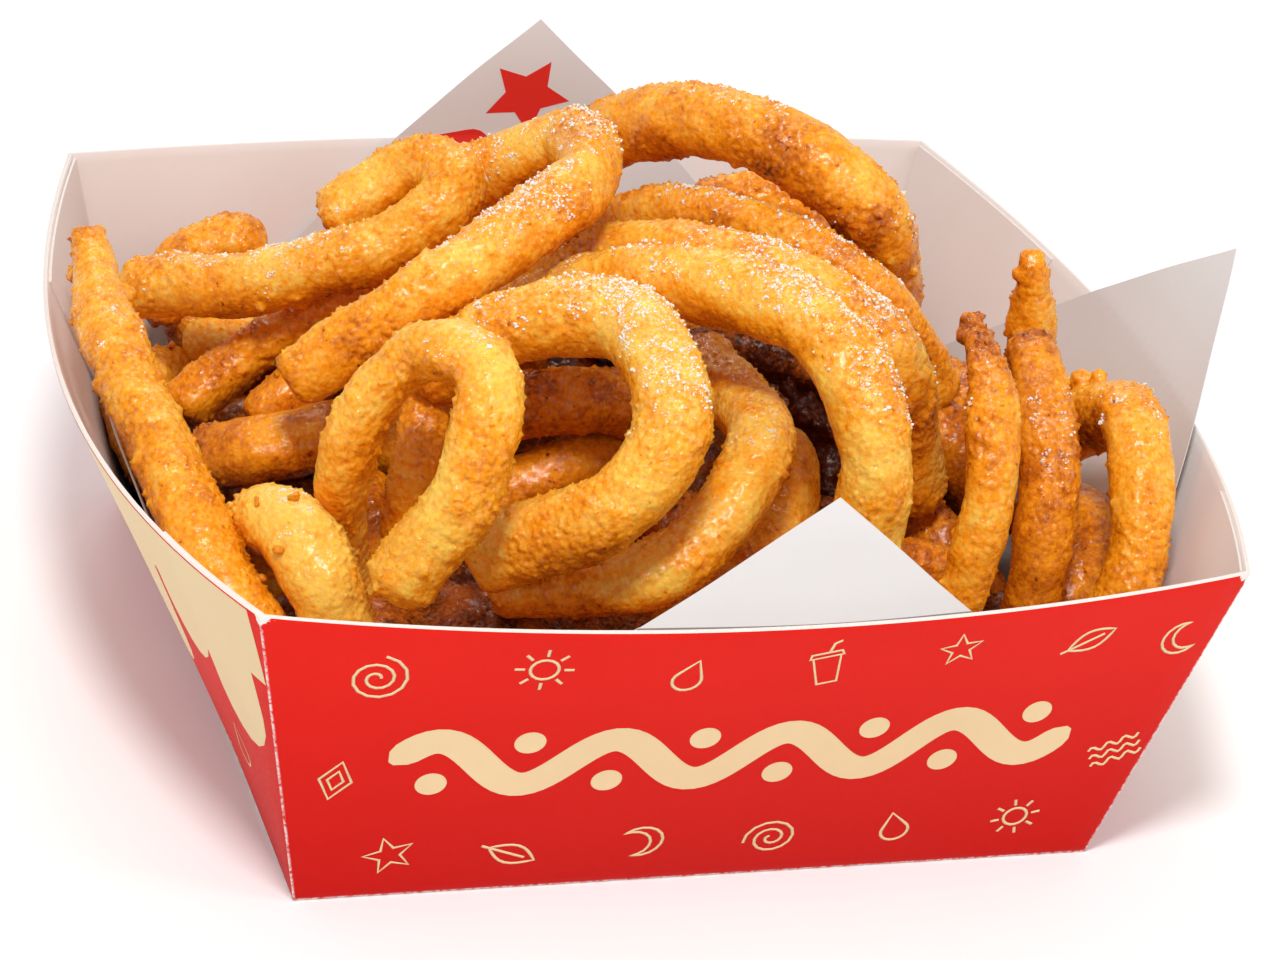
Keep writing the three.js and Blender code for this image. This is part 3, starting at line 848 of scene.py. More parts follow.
def sheetInk():  # rows of bold stars, drops, dots and waves, printed along the sheet's left edge
    shapes = []
    pitch = sheetPrint["pitch"]
    wide, below, swing, thick = sheetPrint["band"]
    starAt, starSize = sheetPrint["star"]
    dropX, dropY, *dropLook = sheetPrint["drop"]
    for row, up in enumerate(sheetPrint["rows"]):
        for column in range(-5, 6):
            across = column * pitch + (row % 2) * pitch / 2 + sheetPrint["start"]
            outlines = [waveBand(across - wide, across + wide, up + below, swing, 1, thick),
                        starPoints(across + starAt, up, starSize, 5, 0.5),
                        motifLines("drop", across + dropX, up + dropY, *dropLook)[0][0]]
            for x, y in sheetPrint["dots"]:
                outlines.append(circlePoints(across + x, up + y, sheetPrint["dotRadius"]))
            for outline in outlines:
                turned = placed(outline, 0, 0, 45, 1)
                if all(inPrint(x, y) for x, y in turned):
                    shapes.append(flatCurve(turned))
    ink = joinPieces(shapes, "linerPrint")
    cutByGrid(ink, sheetPrint["grid"], -sheetPrint["grid"], sheetPrint["grid"])
    layOnSheet(ink, sheetSizes["thick"] + printSizes["ink"])
    return ink


def buildLiner():
    paper = cutSheet()
    flat = readPoints(paper) / mm
    layOnSheet(paper, 0)
    height = readPoints(paper)[:, 2] / mm
    oil = np.clip(1.3 - np.maximum(np.abs(flat[:, 0]), np.abs(flat[:, 1])) / 95, 0, 1)
    storeValue(paper, "oil", oil * (height < 45))
    wear(paper, greaseproofPaper())
    up = paper.data.polygons[len(paper.data.polygons) // 2].normal.z > 0
    useModifier(paper, "SOLIDIFY", thickness=sheetSizes["thick"] * mm, offset=1 if up else -1)
    smoothPiece(paper, 25)
    ink = sheetInk()
    wear(ink, inkMaterial("redInk", linerLooks["ink"], linerLooks["inkDeep"]))
    for piece in (paper, ink):
        dress(piece, "liner")


buildLiner()
print("liner ready")


batterSizes = {  # millimetres
    "voxel": 0.43, "deepVoxel": 0.62, "spacing": 2.0, "wobble": 0.6,
    "swellSize": 12.0, "swellDepth": 1.5,
    "lumpSize": 3.6, "lumpDepth": 0.7,
    "pebbleSize": 1.2, "pebbleDepth": 0.24,
    "crumbSize": 0.8, "crumbDepth": 0.2,
    "patchSize": 13.0,  # stretches of rough and of smooth batter
    "knobs": 0.12,  # larger knobs of batter for each millimetre of fry
    "granules": 0.2,  # small ones for each square millimetre
    "granuleSize": (0.22, 0.5), "granuleHeight": (0.2, 0.65),
    "shrink": 0.3,  # taken off the radius for what the relief adds
    "sides": 28,  # points round a fry
    # the last value, for the hidden mound under the fries, is painted shade
    "knobSize": (0.7, 1.3), "burntReach": 9, "plainToast": 0.52, "coreToast": 0.86,
    "pieceFaces": 94000,  # four-sided faces in one piece of the heap, at most
}

# thickness, tip factors at both ends, and the way it lies, in millimetres
curls = {
    "leftStick": (10.8, (0.55, 1), ((-85, 34, 66), (-86, 10, 61), (-82, -20, 54),
                                    (-76, -43, 43), (-67, -56, 30))),
    "leftLoop": (10.5, (1, 1), ((-66, 50, 32), (-76, 32, 36), (-74, 8, 33))),
    "hookLeft": (11.2, (1, 1),
                 ((-74, 41, 53), (-56, 29, 60), (-36, 23, 70), (-25, 27, 78), (-28, 38, 77), (-41, 40, 67))),
    "backStub": (10, (1, 1), ((-66, 61, 39), (-61, 63, 48), (-50, 64, 50))),
    "foldedStrip": (11.8, (1, 0.9), ((-18, 38, 74), (-5, 27, 86), (-10, 6, 88),
                                     (-38, -9, 77), (-58, -8, 62))),
    "shortBack": (10, (1, 1), ((-60, 52, 36), (-51, 49, 38), (-42, 52, 35))),
    "slantStrip": (9.5, (1, 1), ((-67, 29, 37), (-54, 32, 46), (-35, 27, 61))),
    "leftLow": (12, (1, 1), ((-68, 7, 38), (-60, 2, 43), (-45, 3, 45))),
    "frontLoop": (11.5, (0.85, 1.1),
                  ((-51, -28, 28), (-57, -36, 62), (-47, -38, 81),
                   (-40, -49, 84), (-42, -57, 71), (-52, -58, 52))),
    "frontStub": (13, (0.9, 1), ((-66, -27, 36), (-66, -38, 51), (-60, -42, 28))),
    "ringInner": (13.2, (0.9, 1),
                  ((-38, -16, 66), (-29, -20, 75), (-12, -29, 81),
                   (-9, -50, 76), (-18, -56, 63), (-35, -47, 50))),
    "ringMiddle": (11.3, (1, 1), ((11, -6, 61), (11, -37, 62), (-6, -50, 48), (-30, -43, 41))),
    "ringOuter": (11, (1, 1), ((23, -17, 50), (19, -32, 44), (-4, -40, 34))),
    "bigArch": (13.2, (1, 1),
                ((-26, 10, 55), (-18, 2, 66), (-3, -16, 81), (16, -36, 84), (24, -54, 72), (21, -56, 40))),
    "archTwin": (11.5, (1, 1), ((-18, 24, 52), (-3, 7, 74), (16, -18, 83), (34, -27, 74), (45, -24, 45))),
    "backStrip": (10.5, (1, 1), ((2, 43, 60), (16, 22, 74), (38, -2, 73), (53, -5, 54))),
    "topArch": (13.3, (1, 1), ((2, 55, 66), (9, 49, 77), (23, 26, 89), (42, 8, 82), (53, 20, 55))),
    "behindArch": (10, (1, 1), ((34, 62, 56), (45, 58, 58), (57, 55, 45))),
    "tipBack": (9.5, (0.5, 1), ((66, -8, 79), (69, -7, 64), (72, 4, 34))),
    "tipFront": (9.6, (0.5, 1), ((47, -33, 80), (47, -49, 68), (38, -54, 32))),
    "stickRight": (10.4, (0.8, 1), ((62, -22, 70), (60, -43, 58), (58, -46, 28))),
    "rightLoop": (12, (0.9, 1), ((71, -15, 50), (76, -38, 64), (70, -58, 40), (62, -52, 24))),
    "darkRight": (11, (1, 1), ((50, 6, 48), (55, -7, 47), (63, -16, 34))),
    "lowRightA": (11, (1, 1), ((47, -16, 38), (50, -25, 36), (57, -32, 28))),
    "lowRightB": (11, (1, 1), ((74, -16, 35), (73, -34, 39), (64, -44, 28))),
    "holeTop": (11, (1, 1), ((-23, -8, 54), (-12, -10, 57), (5, -8, 50))),
    "holeLow": (10.5, (1, 1), ((-25, -13, 40), (-13, -12, 45), (5, -5, 42))),
    "loopHole": (9.5, (1, 1), ((-37, -11, 60), (-41, -21, 53), (-42, -22, 38))),
    "loopLow": (10, (1, 1), ((-43, -6, 37), (-47, -16, 36), (-45, -22, 29))),
    "frontLow": (11, (1, 1), ((-42, -32, 28), (-28, -38, 31), (-12, -36, 28))),
    "darkMid": (10, (1, 1), ((6, 8, 48), (24, 4, 57), (41, -1, 50))),
    "crag": (8, (1, 1), ((30, -5, 50), (33, -12, 46), (32, -20, 38))),
    "backCorner": (11, (1, 1), ((26, 66, 38), (48, 62, 38), (60, 46, 34))),
    "backLow": (11, (1, 1), ((-34, 62, 37), (-12, 68, 42), (12, 58, 44))),
    "backFar": (10, (1, 1), ((-61, 60, 35), (-44, 69, 38), (-24, 68, 35))),
    "backRise": (11, (1, 1), ((-40, 50, 42), (-16, 49, 53), (9, 53, 58))),
    "rightBack": (11, (1, 1), ((68, 10, 34), (71, 27, 36), (63, 43, 32))),
    "rightMid": (11, (1, 1), ((58, 12, 37), (61, 28, 45), (48, 46, 46))),
    "underArch": (11, (1, 1), ((14, 34, 52), (32, 40, 57), (48, 34, 50))),
    "underHook": (11, (1, 1), ((-56, 18, 40), (-34, 21, 51), (-12, 14, 50))),
    "frontFill": (11, (1, 1), ((-14, -60, 31), (12, -64, 33), (36, -60, 29))),
    "frontRight": (10.5, (1, 1), ((27, -44, 35), (36, -42, 41), (48, -42, 35))),
    "backHigh": (11, (1, 1), ((-20, 60, 47), (2, 66, 50), (26, 60, 47))),
    "rightEdge": (11, (1, 1), ((58, -4, 36), (66, 4, 41), (62, 20, 38))),
    "midBack": (11, (1, 1), ((-34, 36, 48), (-20, 40, 54), (-2, 36, 53))),
    "midRight": (11, (1, 1), ((0, 27, 51), (16, 18, 54), (30, 21, 50))),
    "midLeft": (10.5, (1, 1), ((-60, -12, 33), (-52, -22, 36), (-38, -14, 38))),
    "midFront": (11, (1, 1), ((-24, -27, 36), (-10, -25, 41), (4, -22, 40))),
    "leftDeep": (10.5, (1, 1), ((-58, 14, 36), (-46, 9, 40), (-34, -2, 42))),
    "frontLeft": (10.5, (1, 1), ((-52, -60, 29), (-40, -63, 31), (-28, -60, 28))),
}

# how dark each fry is coloured (0 pale, 1 nearly black): real browning, and for the fries deep in the holes
# and gaps partly painted shade; and how deep the groove along it is
toastAndShadeLevels = {
    "frontLoop": 0.20, "frontStub": 0.12, "ringInner": 0.22, "ringMiddle": 0.26, "bigArch": 0.23,
    "archTwin": 0.33, "foldedStrip": 0.33, "leftStick": 0.32, "hookLeft": 0.27, "backStrip": 0.33,
    "topArch": 0.37, "backStub": 0.42, "ringOuter": 0.42, "stickRight": 0.5, "tipFront": 0.4,
    "tipBack": 0.25, "rightLoop": 0.36, "slantStrip": 0.37, "leftLow": 0.56, "behindArch": 0.46,
    "leftLoop": 0.42, "shortBack": 0.27, "holeTop": 0.45, "holeLow": 0.58, "loopHole": 0.4,
    "loopLow": 0.62, "crag": 1.1, "darkMid": 0.85, "darkRight": 0.66, "lowRightA": 0.66,
    "lowRightB": 0.52, "frontLow": 0.62, "midFront": 0.6,
}
grooves = {
    "topArch": 0.16, "rightLoop": 0.2, "tipFront": 0.2, "stickRight": 0.18, "frontStub": 0.14,
    "bigArch": 0.05,
}
# rough and lump are real browning of the crust; valley, side and under darken the batter in its pits, on its
# sides and underneath, which is painted shade
browningAndShadeShares = {"rough": 0.16, "lump": 0.25, "valley": 0.25, "side": 0.17, "under": 0.2}
burntTips = {"tipFront": 0.36, "tipBack": 0.28, "leftStick": 0.16, "rightLoop": 0.1}


def arcPoints(a, b, c, count=41):  # circle arc from a through b to c
    ab, ac = b - a, c - a
    normal = ab.cross(ac)
    toward = normal.cross(ab) * ac.length_squared + ac.cross(normal) * ab.length_squared
    centre = a + toward / (2 * normal.length_squared)
    axisU = a - centre
    axisV = normal.normalized().cross(axisU)
    end = c - centre
    sweep = math.atan2(end.dot(axisV), end.dot(axisU)) % (2 * math.pi)
    return [centre + axisU * math.cos(t * sweep) + axisV * math.sin(t * sweep)
            for t in np.linspace(0, 1, count)]


def splinePoints(points, count=24):  # centripetal curve through the points
    line = [points[0] * 2 - points[1]] + list(points) + [points[-1] * 2 - points[-2]]
    places = []
    for k in range(1, len(line) - 2):
        p0, p1, p2, p3 = line[k - 1:k + 3]
        d0, d1, d2 = ((q - p).length ** 0.5 for p, q in ((p0, p1), (p1, p2), (p2, p3)))
        m1 = (p1 - p0) / d0 - (p2 - p0) / (d0 + d1) + (p2 - p1) / d1
        m2 = (p2 - p1) / d1 - (p3 - p1) / (d1 + d2) + (p3 - p2) / d2
        m1, m2 = m1 * d1, m2 * d1
        for t in np.linspace(0, 1, count, endpoint=False):
            cubic = (2 * t ** 3 - 3 * t * t + 1, t ** 3 - 2 * t * t + t,
                     3 * t * t - 2 * t ** 3, t ** 3 - t * t)
            places.append(p1 * cubic[0] + m1 * cubic[1] + p2 * cubic[2] + m2 * cubic[3])
    return places + [points[-1]]


def evenPath(path, spacing):
    points = [Vector(place) for place in path]
    fine = arcPoints(*points) if len(points) == 3 else splinePoints(points)
    lengths = np.concatenate([[0], np.cumsum([(b - a).length for a, b in zip(fine, fine[1:])])])
    count = max(int(round(lengths[-1] / spacing)), 8)
    wanted = np.linspace(0, lengths[-1], count + 1)
    table = np.array([list(point) for point in fine])
    return np.stack([np.interp(wanted, lengths, table[:, axis]) for axis in range(3)], axis=1), lengths[-1]


def swellAt(t, startTip, endTip):
    fromStart = startTip + (1 - startTip) * t * 4
    fromEnd = endTip + (1 - endTip) * (1 - t) * 4
    return min(fromStart, fromEnd, 1.1 if endTip > 1 else 1)


def crossSection(name, radius, rng):  # outline of one fry: uneven, some with a groove
    groove = grooves.get(name, 0.0)
    lobes = [(2, rng.uniform(0.02, 0.06), rng.uniform(0, 6.3)),
             (3, rng.uniform(0.01, 0.035), rng.uniform(0, 6.3))]
    count = batterSizes["sides"]
    points = []
    for k in range(count):
        angle = 2 * math.pi * k / count
        reach = 1 + sum(size * math.sin(times * angle + phase) for times, size, phase in lobes)
        reach -= groove * math.exp(-((angle - math.pi) / 0.3) ** 2)
        points.append((radius * reach * math.cos(angle), radius * reach * math.sin(angle), 0))
    return polyCurve("crossSection", points)


def fryTube(name, thickness, tips, path, rng):
    places, length = evenPath(path, batterSizes["spacing"])
    radius = thickness / 2 - batterSizes["shrink"]
    seed = Vector((rng.uniform(0, 90), rng.uniform(0, 90), rng.uniform(0, 90)))
    count = len(places) - 1
    stations = []
    for k, place in enumerate(places):
        there = seed + Vector(place) / 17
        drift = Vector([noise.noise(there + Vector((apart, 0, 0))) for apart in (0, 31, 67)])
        drift *= batterSizes["wobble"]
        swell = 1 + 0.07 * noise.noise(seed + Vector(place) / 9)
        stations.append((Vector(place) + drift, swellAt(k / count, *tips) * swell))
    startWay = (stations[0][0] - stations[1][0]).normalized()
    endWay = (stations[-1][0] - stations[-2][0]).normalized()
    for slide, scale in ((0.22, 0.95), (0.42, 0.8), (0.52, 0.5)):
        stations.insert(0, (Vector(places[0]) + startWay * slide * radius * tips[0], scale * tips[0]))
        stations.append((Vector(places[-1]) + endWay * slide * radius * tips[1], scale * min(tips[1], 1)))
    tube = polyCurve(name, [place * mm for place, _ in stations], False, "3D")
    twist = rng.uniform(-0.012, 0.012)
    for k, (_, scale) in enumerate(stations):
        point = tube.data.splines[0].points[k]
        point.radius = scale
        point.tilt = twist * k
    section = crossSection(name, radius * mm, rng)
    tube.data.bevel_mode = "OBJECT"
    tube.data.bevel_object = section
    tube.data.use_fill_caps = True
    tube = meshFromCurve(tube)
    bpy.data.objects.remove(section)
    return tube, places, length


def batterKnobs(tube, knob, count, rng):  # little lumps of batter, half sunk in the fry
    faces = tube.data.polygons
    copies = []
    for _ in range(count):
        face = faces[rng.randrange(len(faces))]
        lump = copyPiece(knob)
        size = rng.uniform(*batterSizes["knobSize"])
        lump.scale = [size * rng.uniform(*span) for span in ((0.8, 1.3), (0.8, 1.3), (0.7, 1.0))]
        lump.rotation_euler = [rng.uniform(0, 6.3) for _ in range(3)]
        lump.location = face.center + face.normal * size * 0.12 * mm
        copies.append(lump)
    return copies


tipKnobs = {  # extra lumps at ragged tips: place and size in millimetres
    "leftStick": [((-86.4, 35.2, 66.0), 2.1), ((-83.2, 35.6, 66.4), 1.8), ((-85.2, 34.5, 64.6), 2.4),
                  ((-87.4, 30.0, 61.5), 2.0), ((-83.0, 27.0, 63.5), 1.9), ((-82.0, 20.0, 62.2), 2.9),
                  ((-88.9, 16.0, 61.0), 2.6), ((-81.9, 5.0, 60.2), 2.7), ((-88.6, -2.0, 57.8), 2.6),
                  ((-79.7, -11.0, 57.0), 2.7), ((-85.5, -21.0, 54.0), 2.5), ((-78.1, -25.0, 52.5), 2.8),
                  ((-74.3, -37.0, 47.0), 2.6)],
    "tipFront": [((45.6, -32.6, 81.6), 1.7), ((47.4, -32.2, 81.4), 1.5), ((44.8, -34.0, 79.4), 1.8),
                 ((48.6, -34.6, 79.4), 1.4)],
    "tipBack": [((65.6, -7.8, 79.8), 1.8), ((66.8, -8.2, 80.2), 1.4), ((64.2, -8.4, 77.2), 1.5)],
    "rightLoop": [((72.8, -21.0, 63.6), 2.2), ((74.6, -24.0, 65.6), 1.8), ((71.5, -18.5, 61.5), 1.7)],
    "crag": [((33, -13, 51), 2.6), ((29, -10, 52), 2.2), ((35, -18, 45), 2.4), ((28, -3, 54), 2.0)],
}


def solidFry(name, thickness, tips, path, knob):
    rng = random.Random(name)
    tube, places, length = fryTube(name, thickness, tips, path, rng)
    lumps = batterKnobs(tube, knob, int(length * batterSizes["knobs"]), rng)
    for place, size in tipKnobs.get(name, []):
        lump = copyPiece(knob)
        lump.scale = (size, size, size)
        lump.location = Vector(place) * mm
        lumps.append(lump)
    fry = joinPieces([tube] + lumps, name)
    placeInMesh(fry)
    toast = toastAndShadeLevels.get(name, batterSizes["plainToast"])
    voxel = batterSizes["voxel" if toast < 0.5 else "deepVoxel"]
    useModifier(fry, "REMESH", mode="VOXEL", voxel_size=voxel * mm)
    useModifier(fry, "SMOOTH", factor=0.5, iterations=2)
    points = readPoints(fry) / mm
    nearest = np.argmin([((points - place) ** 2).sum(axis=1) for place in places], axis=0)
    fromStart = nearest / (len(places) - 1) * length
    burnt = burntTips.get(name, 0.0) * np.clip(1 - fromStart / batterSizes["burntReach"], 0, 1)
    storeValue(fry, "toast", toast + burnt)
    return fry


def cloudRelief(piece, name, kind, size, depth):
    texture = bpy.data.textures.new(name, kind)
    texture.noise_scale = size * mm
    if kind == "CLOUDS":
        texture.noise_depth = 2
    useModifier(piece, "DISPLACE", texture=texture, texture_coords="LOCAL", strength=depth * mm,
                mid_level=0.5)


def noiseAt(points, size, shift):  # soft noise of a given size in millimetres, about -1 to 1
    scale = 1 / (size * mm)
    return np.array([noise.noise(Vector((x * scale + shift, y * scale, z * scale)))
                     for x, y, z in points.tolist()])


def addGranules(piece, rough, rng):  # small sharp bits of crust, closer together where it is rough
    points, normals = readPoints(piece), readNormals(piece)
    tree = kdtree.KDTree(len(points))
    for index, point in enumerate(points.tolist()):
        tree.insert(point, index)
    tree.balance()
    area = sum(face.area for face in piece.data.polygons) / mm ** 2
    weight = rough ** 3
    picks = rng.choice(len(points), size=int(area * batterSizes["granules"]), p=weight / weight.sum())
    lift = np.zeros(len(points))
    for index in picks:
        size = rng.uniform(*batterSizes["granuleSize"]) * mm
        height = rng.uniform(*batterSizes["granuleHeight"])
        for _, near, far in tree.find_range(points[index], size * 2):
            lift[near] = max(lift[near], height * math.exp(-(far / size) ** 2))
    writePoints(piece, points + normals * (lift * mm)[:, None])
    return lift


def roughen(piece):  # batter relief, rougher in some stretches; its height is kept for the material
    rng = np.random.default_rng(len(piece.data.vertices))
    cloudRelief(piece, "swell", "CLOUDS", batterSizes["swellSize"], batterSizes["swellDepth"])
    smooth, normals = readPoints(piece), readNormals(piece)
    stretches = noiseAt(smooth, batterSizes["patchSize"], 7.7)
    rough = np.clip(0.45 + 1.1 * stretches + 0.25 * normals[:, 2], 0.12, 1)
    cloudRelief(piece, "lump", "CLOUDS", batterSizes["lumpSize"], batterSizes["lumpDepth"])
    lump = ((readPoints(piece) - smooth) * normals).sum(axis=1) / (batterSizes["lumpDepth"] * mm)
    before = readPoints(piece)
    cloudRelief(piece, "pebble", "VORONOI", batterSizes["pebbleSize"], -batterSizes["pebbleDepth"])
    cloudRelief(piece, "crumb", "CLOUDS", batterSizes["crumbSize"], batterSizes["crumbDepth"])
    change = readPoints(piece) - before
    writePoints(piece, before + change * (0.35 + 0.85 * rough)[:, None])
    valley = np.clip(-(change * normals).sum(axis=1) / (batterSizes["pebbleDepth"] * mm), -0.5, 0.5)
    lift = addGranules(piece, rough, rng)
    storeValue(piece, "crag", np.clip(lift / batterSizes["granuleHeight"][1], 0, 1))
    # painted shade from valley, side and under; real browning from rough and lump
    browningAndShadeParts = {
        "rough": rough - 0.5, "lump": np.clip(lump, 0, 1), "valley": valley,
        "side": np.clip(0.4 - normals[:, 2], 0, 0.6) / 0.6, "under": np.clip(-normals[:, 2], 0, 1),
    }
    toast = readValues(piece, "toast")
    for name, part in browningAndShadeParts.items():
        toast += browningAndShadeShares[name] * part
    storeValue(piece, "toast", toast)


coreSizes = {  # millimetres
    "width": 120, "low": 3.2, "voxel": 1.2,
    "levels": ((24, 1.06, 0), (5, 0.93, 0), (4, 0.72, 8), (9, 0.58, 12), (3, 0.5, 4)),  # climb, scale, shift
}


def hiddenCore():  # the mound under the fries that show
    bpy.ops.mesh.primitive_plane_add(size=coreSizes["width"] * mm, location=(0, 0, coreSizes["low"] * mm))
    core = startPiece("hiddenFries")
    editPiece(core)
    for climb, scale, shift in coreSizes["levels"]:
        bpy.ops.mesh.extrude_region_move(TRANSFORM_OT_translate={"value": (0, shift * mm, climb * mm)})
        bpy.ops.transform.resize(value=(scale, scale, 1))
    bpy.ops.mesh.select_all(action="SELECT")
    bpy.ops.mesh.subdivide(number_cuts=5)
    bpy.ops.mesh.normals_make_consistent(inside=False)
    bpy.ops.object.mode_set(mode="OBJECT")
    useModifier(core, "REMESH", mode="VOXEL", voxel_size=coreSizes["voxel"] * mm)
    cloudRelief(core, "coreLump", "VORONOI", 11, -7)
    useModifier(core, "SMOOTH", factor=0.5, iterations=2)
    cloudRelief(core, "corePebble", "CLOUDS", 2.2, 0.7)
    # painted shade: the hidden mound is coloured nearly black so the gaps between the fries look shaded
    storeValue(core, "toast", batterSizes["coreToast"])
    storeValue(core, "crag", 0.0)
    return core


powderSpots = [  # place, reach and strength of each dusted stretch, in millimetres
    ((-6, 22, 92), 16, 0.8), ((-22, 0, 86), 14, 1.0), ((-34, -6, 82), 8, 0.5), ((-20, 34, 82), 10, 0.4),
    ((-12, -30, 86), 15, 1.0), ((-9, -48, 80), 12, 0.8), ((-30, -20, 79), 10, 0.5),
    ((0, -14, 88), 12, 0.5), ((16, -34, 90), 14, 0.9), ((26, -50, 80), 12, 1.0), ((30, -56, 66), 10, 0.6),
    ((34, -26, 82), 13, 1.0), ((18, -16, 88), 12, 0.7), ((44, -26, 66), 10, 0.7),
    ((12, -34, 68), 10, 0.8), ((-4, -50, 54), 9, 0.4), ((18, 20, 80), 12, 0.6), ((36, 0, 78), 12, 0.6),
    ((-50, 28, 66), 14, 0.5), ((-66, 36, 60), 12, 0.4), ((-42, -46, 88), 10, 0.25), ((-66, -38, 58), 9, 0.4),
    ((24, 26, 95), 14, 0.3), ((50, 8, 76), 12, 0.4), ((60, -40, 66), 12, 0.35), ((76, -36, 68), 12, 0.3),
    ((-84, 6, 66), 18, 0.15), ((-12, -9, 61), 8, 0.5), ((4, 10, 66), 12, 0.6), ((48, -40, 76), 9, 0.3),
]


def powderWeight(points):  # points in millimetres
    weight = np.zeros(len(points))
    for place, reach, strength in powderSpots:
        far = np.sqrt(((points - np.array(place)) ** 2).sum(axis=1))
        weight = np.maximum(weight, strength * np.clip(1.15 - far / reach, 0, 1))
    return np.clip(weight * 0.85, 0, 1)


def dustFries(piece):
    upward = np.clip(readNormals(piece)[:, 2] * 1.4 - 0.25, 0, 1)
    storeValue(piece, "dust", upward * powderWeight(readPoints(piece) / mm))


def buildFries():
    bpy.ops.mesh.primitive_ico_sphere_add(subdivisions=1, radius=1 * mm)
    knob = startPiece("knob")
    material = batterMaterial()
    batches, faceCount = [[]], 0
    for name, (thickness, tips, path) in curls.items():
        fry = solidFry(name, thickness, tips, path, knob)
        faceCount += len(fry.data.polygons)
        if faceCount > batterSizes["pieceFaces"]:
            batches.append([])
            faceCount = len(fry.data.polygons)
        batches[-1].append(fry)
    finished = [joinPieces(batch, f"fries{k + 1}") for k, batch in enumerate(batches)]
    bpy.data.objects.remove(knob)
    for piece in finished:
        roughen(piece)
    finished.append(hiddenCore())
    for piece in finished:
        dustFries(piece)
        wear(piece, material)
        smoothPiece(piece)
        dress(piece, "fries")
    print("triangles of the fries:", sum(2 * len(piece.data.polygons) for piece in finished))
    return finished


fryPieces = buildFries()
print("fries ready")


powderSizes = {  # millimetres
    "clusters": 620, "perCluster": (3, 15), "spread": (0.2, 0.9), "singles": 900,
    "small": 0.09, "large": 0.27, "seed": 11,
    "clear": 0.8, "sky": 30,  # how far above a face the search starts, and how much free air it needs
    "reach": 3,  # how far a grain of a cluster may fall
    "grainHeight": 0.00005, "colour": (0.93, 0.90, 0.85, 1), "dull": (0.84, 0.78, 0.68, 1),
}


def scatterPlaces(pieces, rng):  # points on faces that look up and are open to the sky
    depsgraph = bpy.context.evaluated_depsgraph_get()
    trees = [BVHTree.FromObject(piece, depsgraph) for piece in pieces]
    centres, normals, areas = (
        np.concatenate([readArray(piece.data.polygons, name, width) for piece in pieces])
        for name, width in (("center", 3), ("normal", 3), ("area", 1)))
    weight = powderWeight(centres / mm) ** 1.5 * np.clip(normals[:, 2] * 1.3 - 0.2, 0, 1) * areas
    wanted = powderSizes["clusters"] + powderSizes["singles"]
    picks = rng.choice(len(weight), size=wanted, p=weight / weight.sum())
    places = []
    for order, index in enumerate(picks):
        start = Vector(centres[index]) + Vector(normals[index]) * powderSizes["clear"] * mm
        if any(tree.ray_cast(start, Vector((0, 0, 1)), powderSizes["sky"] * mm)[0] for tree in trees):
            continue
        places.append((centres[index], normals[index]))
        if order >= powderSizes["clusters"]:
            continue
        spread = rng.uniform(*powderSizes["spread"])
        for _ in range(rng.integers(*powderSizes["perCluster"])):
            beside = start + Vector(rng.normal(0, spread * mm, 3))
            hits = [tree.find_nearest(beside, powderSizes["reach"] * mm) for tree in trees]
            hits = [hit for hit in hits if hit[0] is not None]
            if hits:
                nearest = min(hits, key=lambda hit: hit[3])
                places.append((np.array(nearest[0]), np.array(nearest[1])))
    return places


def buildPowder():
    rng = np.random.default_rng(powderSizes["seed"])
    places = scatterPlaces(fryPieces, rng)
    bpy.ops.mesh.primitive_ico_sphere_add(subdivisions=1, radius=1)
    grain = startPiece("powder")
    shape = readPoints(grain)
    triangles = np.array([list(face.vertices) for face in grain.data.polygons])
    count = len(places)
    sizeSpan = powderSizes["large"] - powderSizes["small"]
    sizes = (powderSizes["small"] + sizeSpan * rng.random(count) ** 2) * mm
    stretch = rng.uniform(0.6, 1.4, (count, 1, 3))
    jitter = rng.uniform(0.7, 1.3, (count, len(shape), 1))
    centres = np.array([place for place, _ in places])
    ways = np.array([way for _, way in places])
    points = shape[None] * stretch * jitter * sizes[:, None, None]
    points += (centres + ways * sizes[:, None] * 0.3)[:, None]
    offsets = (np.arange(count) * len(shape))[:, None, None]
    mesh = bpy.data.meshes.new("powder")
    mesh.from_pydata(points.reshape(-1, 3).tolist(), [], (triangles[None] + offsets).reshape(-1, 3).tolist())
    old = grain.data
    grain.data = mesh
    bpy.data.meshes.remove(old)
    wear(grain, powderMaterial())
    dress(grain, "fries")
    print("grains:", count)


buildPowder()
print("powder ready")


crumbSizes = {  # millimetres
    "count": 48, "small": 0.4, "large": 1.0, "highest": 60, "paperTop": 40, "seed": 5,
}


def dropPlace(trees, x, y):  # what lies highest under a point
    hits = [tree.ray_cast(Vector((x, y, 0.15)), Vector((0, 0, -1))) for tree in trees]
    hits = [hit for hit in hits if hit[0] is not None]
    return max(hits, key=lambda hit: hit[0].z) if hits else None


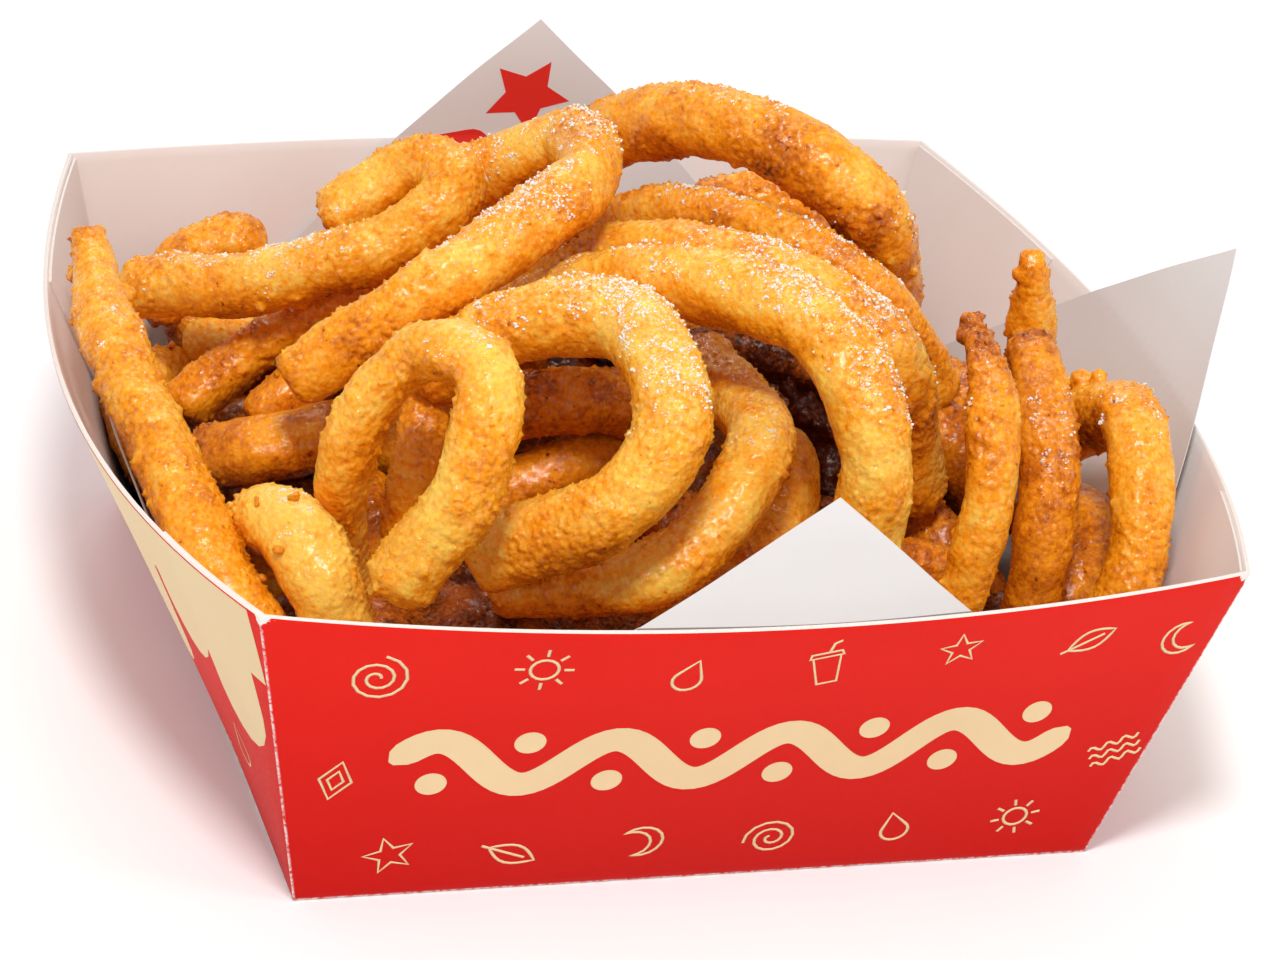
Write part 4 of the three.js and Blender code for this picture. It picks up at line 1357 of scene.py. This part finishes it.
def buildCrumbs():  # bits of loose batter, on the fries and in the gaps beside them
    rng = random.Random(crumbSizes["seed"])
    depsgraph = bpy.context.evaluated_depsgraph_get()
    trees = [BVHTree.FromObject(piece, depsgraph) for piece in fryPieces + [bpy.data.objects["linerSheet"]]]
    bits = []
    while len(bits) < crumbSizes["count"]:
        x, y = rng.uniform(-76, 76) * mm, rng.uniform(-74, 74) * mm
        hit = dropPlace(trees, x, y)
        if hit is None or hit[1].z < 0.35 or hit[0].z > crumbSizes["highest"] * mm:
            continue
        if trees[-1].find_nearest(hit[0])[3] < 0.0003 and hit[0].z > crumbSizes["paperTop"] * mm:
            continue  # none on the paper's corners
        size = rng.uniform(crumbSizes["small"], crumbSizes["large"]) * mm
        middle = hit[0] + hit[1] * size * 0.45
        bpy.ops.mesh.primitive_ico_sphere_add(subdivisions=2, radius=size, location=middle)
        bit = startPiece("crumb")
        bit.scale = (rng.uniform(0.7, 1.3), rng.uniform(0.6, 1.1), rng.uniform(0.5, 0.9))
        bit.rotation_euler = [rng.uniform(0, 6.3) for _ in range(3)]
        placeInMesh(bit)
        bits.append(bit)
    crumbs = joinPieces(bits, "crumbs")
    cloudRelief(crumbs, "crumbLump", "CLOUDS", 0.9, 1.5)
    for name, value in (("toast", 0.5), ("crag", 0.4), ("dust", 0.0)):
        storeValue(crumbs, name, value)
    wear(crumbs, bpy.data.materials["batter"])
    smoothPiece(crumbs)
    dress(crumbs, "fries")


buildCrumbs()
print("crumbs ready")


studio = {
    "azimuth": -19.69, "elevation": 28.25, "roll": 7.54, "distance": 0.81332,
    "target": (0.00508, 0.00001, 0.0354), "lens": 135, "sensor": 36,
    "floor": (0.86, 0.86, 0.86, 1), "floorDull": (0.84, 0.84, 0.84, 1), "sky": 0.55, "floorGlow": 0.12,
}

lights = {  # place, size and power
    "keyLight": ((-0.25, -0.55, 1.12), 0.22, 9.5),
    "fillLight": ((0.8, -0.6, 0.6), 0.3, 1.5),
    "backLight": ((0.1, 1.0, 0.9), 0.4, 3),
}


def buildFloor():
    bpy.ops.mesh.primitive_plane_add(size=30, location=(0, 0, -0.0002))
    floor = startPiece("floor")
    placeInMesh(floor)
    material, tree, place = newMaterial("floorPaper")
    grain = noiseValue(tree, place, 60, 3)
    colour = mixColours(tree, grain, studio["floor"], studio["floorDull"])
    wear(floor, finishMaterial(material, baseColor=colour, roughness=0.9, specularIorLevel=0.1,
                               emissionColor=(1, 1, 1, 1), emissionStrength=studio["floorGlow"]))


def areaLight(name, place, size, power, target=(0, 0, 0.04)):
    bpy.ops.object.light_add(type="AREA", location=place)
    light = bpy.context.active_object
    light.name = name
    light.data.shape = "DISK"
    light.data.size = size
    light.data.energy = power
    light.rotation_euler = (Vector(target) - Vector(place)).to_track_quat("-Z", "Y").to_euler()


def buildLight():
    world = bpy.data.worlds.new("studio")
    bpy.context.scene.world = world
    world.use_nodes = True
    background = world.node_tree.nodes["Background"]
    background.inputs["Color"].default_value = (1, 1, 1, 1)
    background.inputs["Strength"].default_value = studio["sky"]
    for name, (place, size, power) in lights.items():
        areaLight(name, place, size, power)


def buildCamera():
    azimuth, elevation, roll = (math.radians(studio[key]) for key in ("azimuth", "elevation", "roll"))
    back = Vector((math.sin(azimuth) * math.cos(elevation), -math.cos(azimuth) * math.cos(elevation),
                   math.sin(elevation)))
    right = (-back).cross(Vector((0, 0, 1))).normalized()
    up = right.cross(-back)
    rolledRight = right * math.cos(roll) + up * math.sin(roll)
    rolledUp = up * math.cos(roll) - right * math.sin(roll)
    turn = Matrix((rolledRight, rolledUp, back)).transposed().to_4x4()
    turn.translation = Vector(studio["target"]) + back * studio["distance"]
    bpy.ops.object.camera_add()
    camera = bpy.context.active_object
    camera.matrix_world = turn
    camera.data.lens = studio["lens"]
    camera.data.sensor_width = studio["sensor"]
    camera.data.clip_start = 0.05
    bpy.context.scene.camera = camera


buildFloor()
buildLight()
buildCamera()
bpy.context.scene.view_settings.view_transform = "Standard"
print("stage ready")
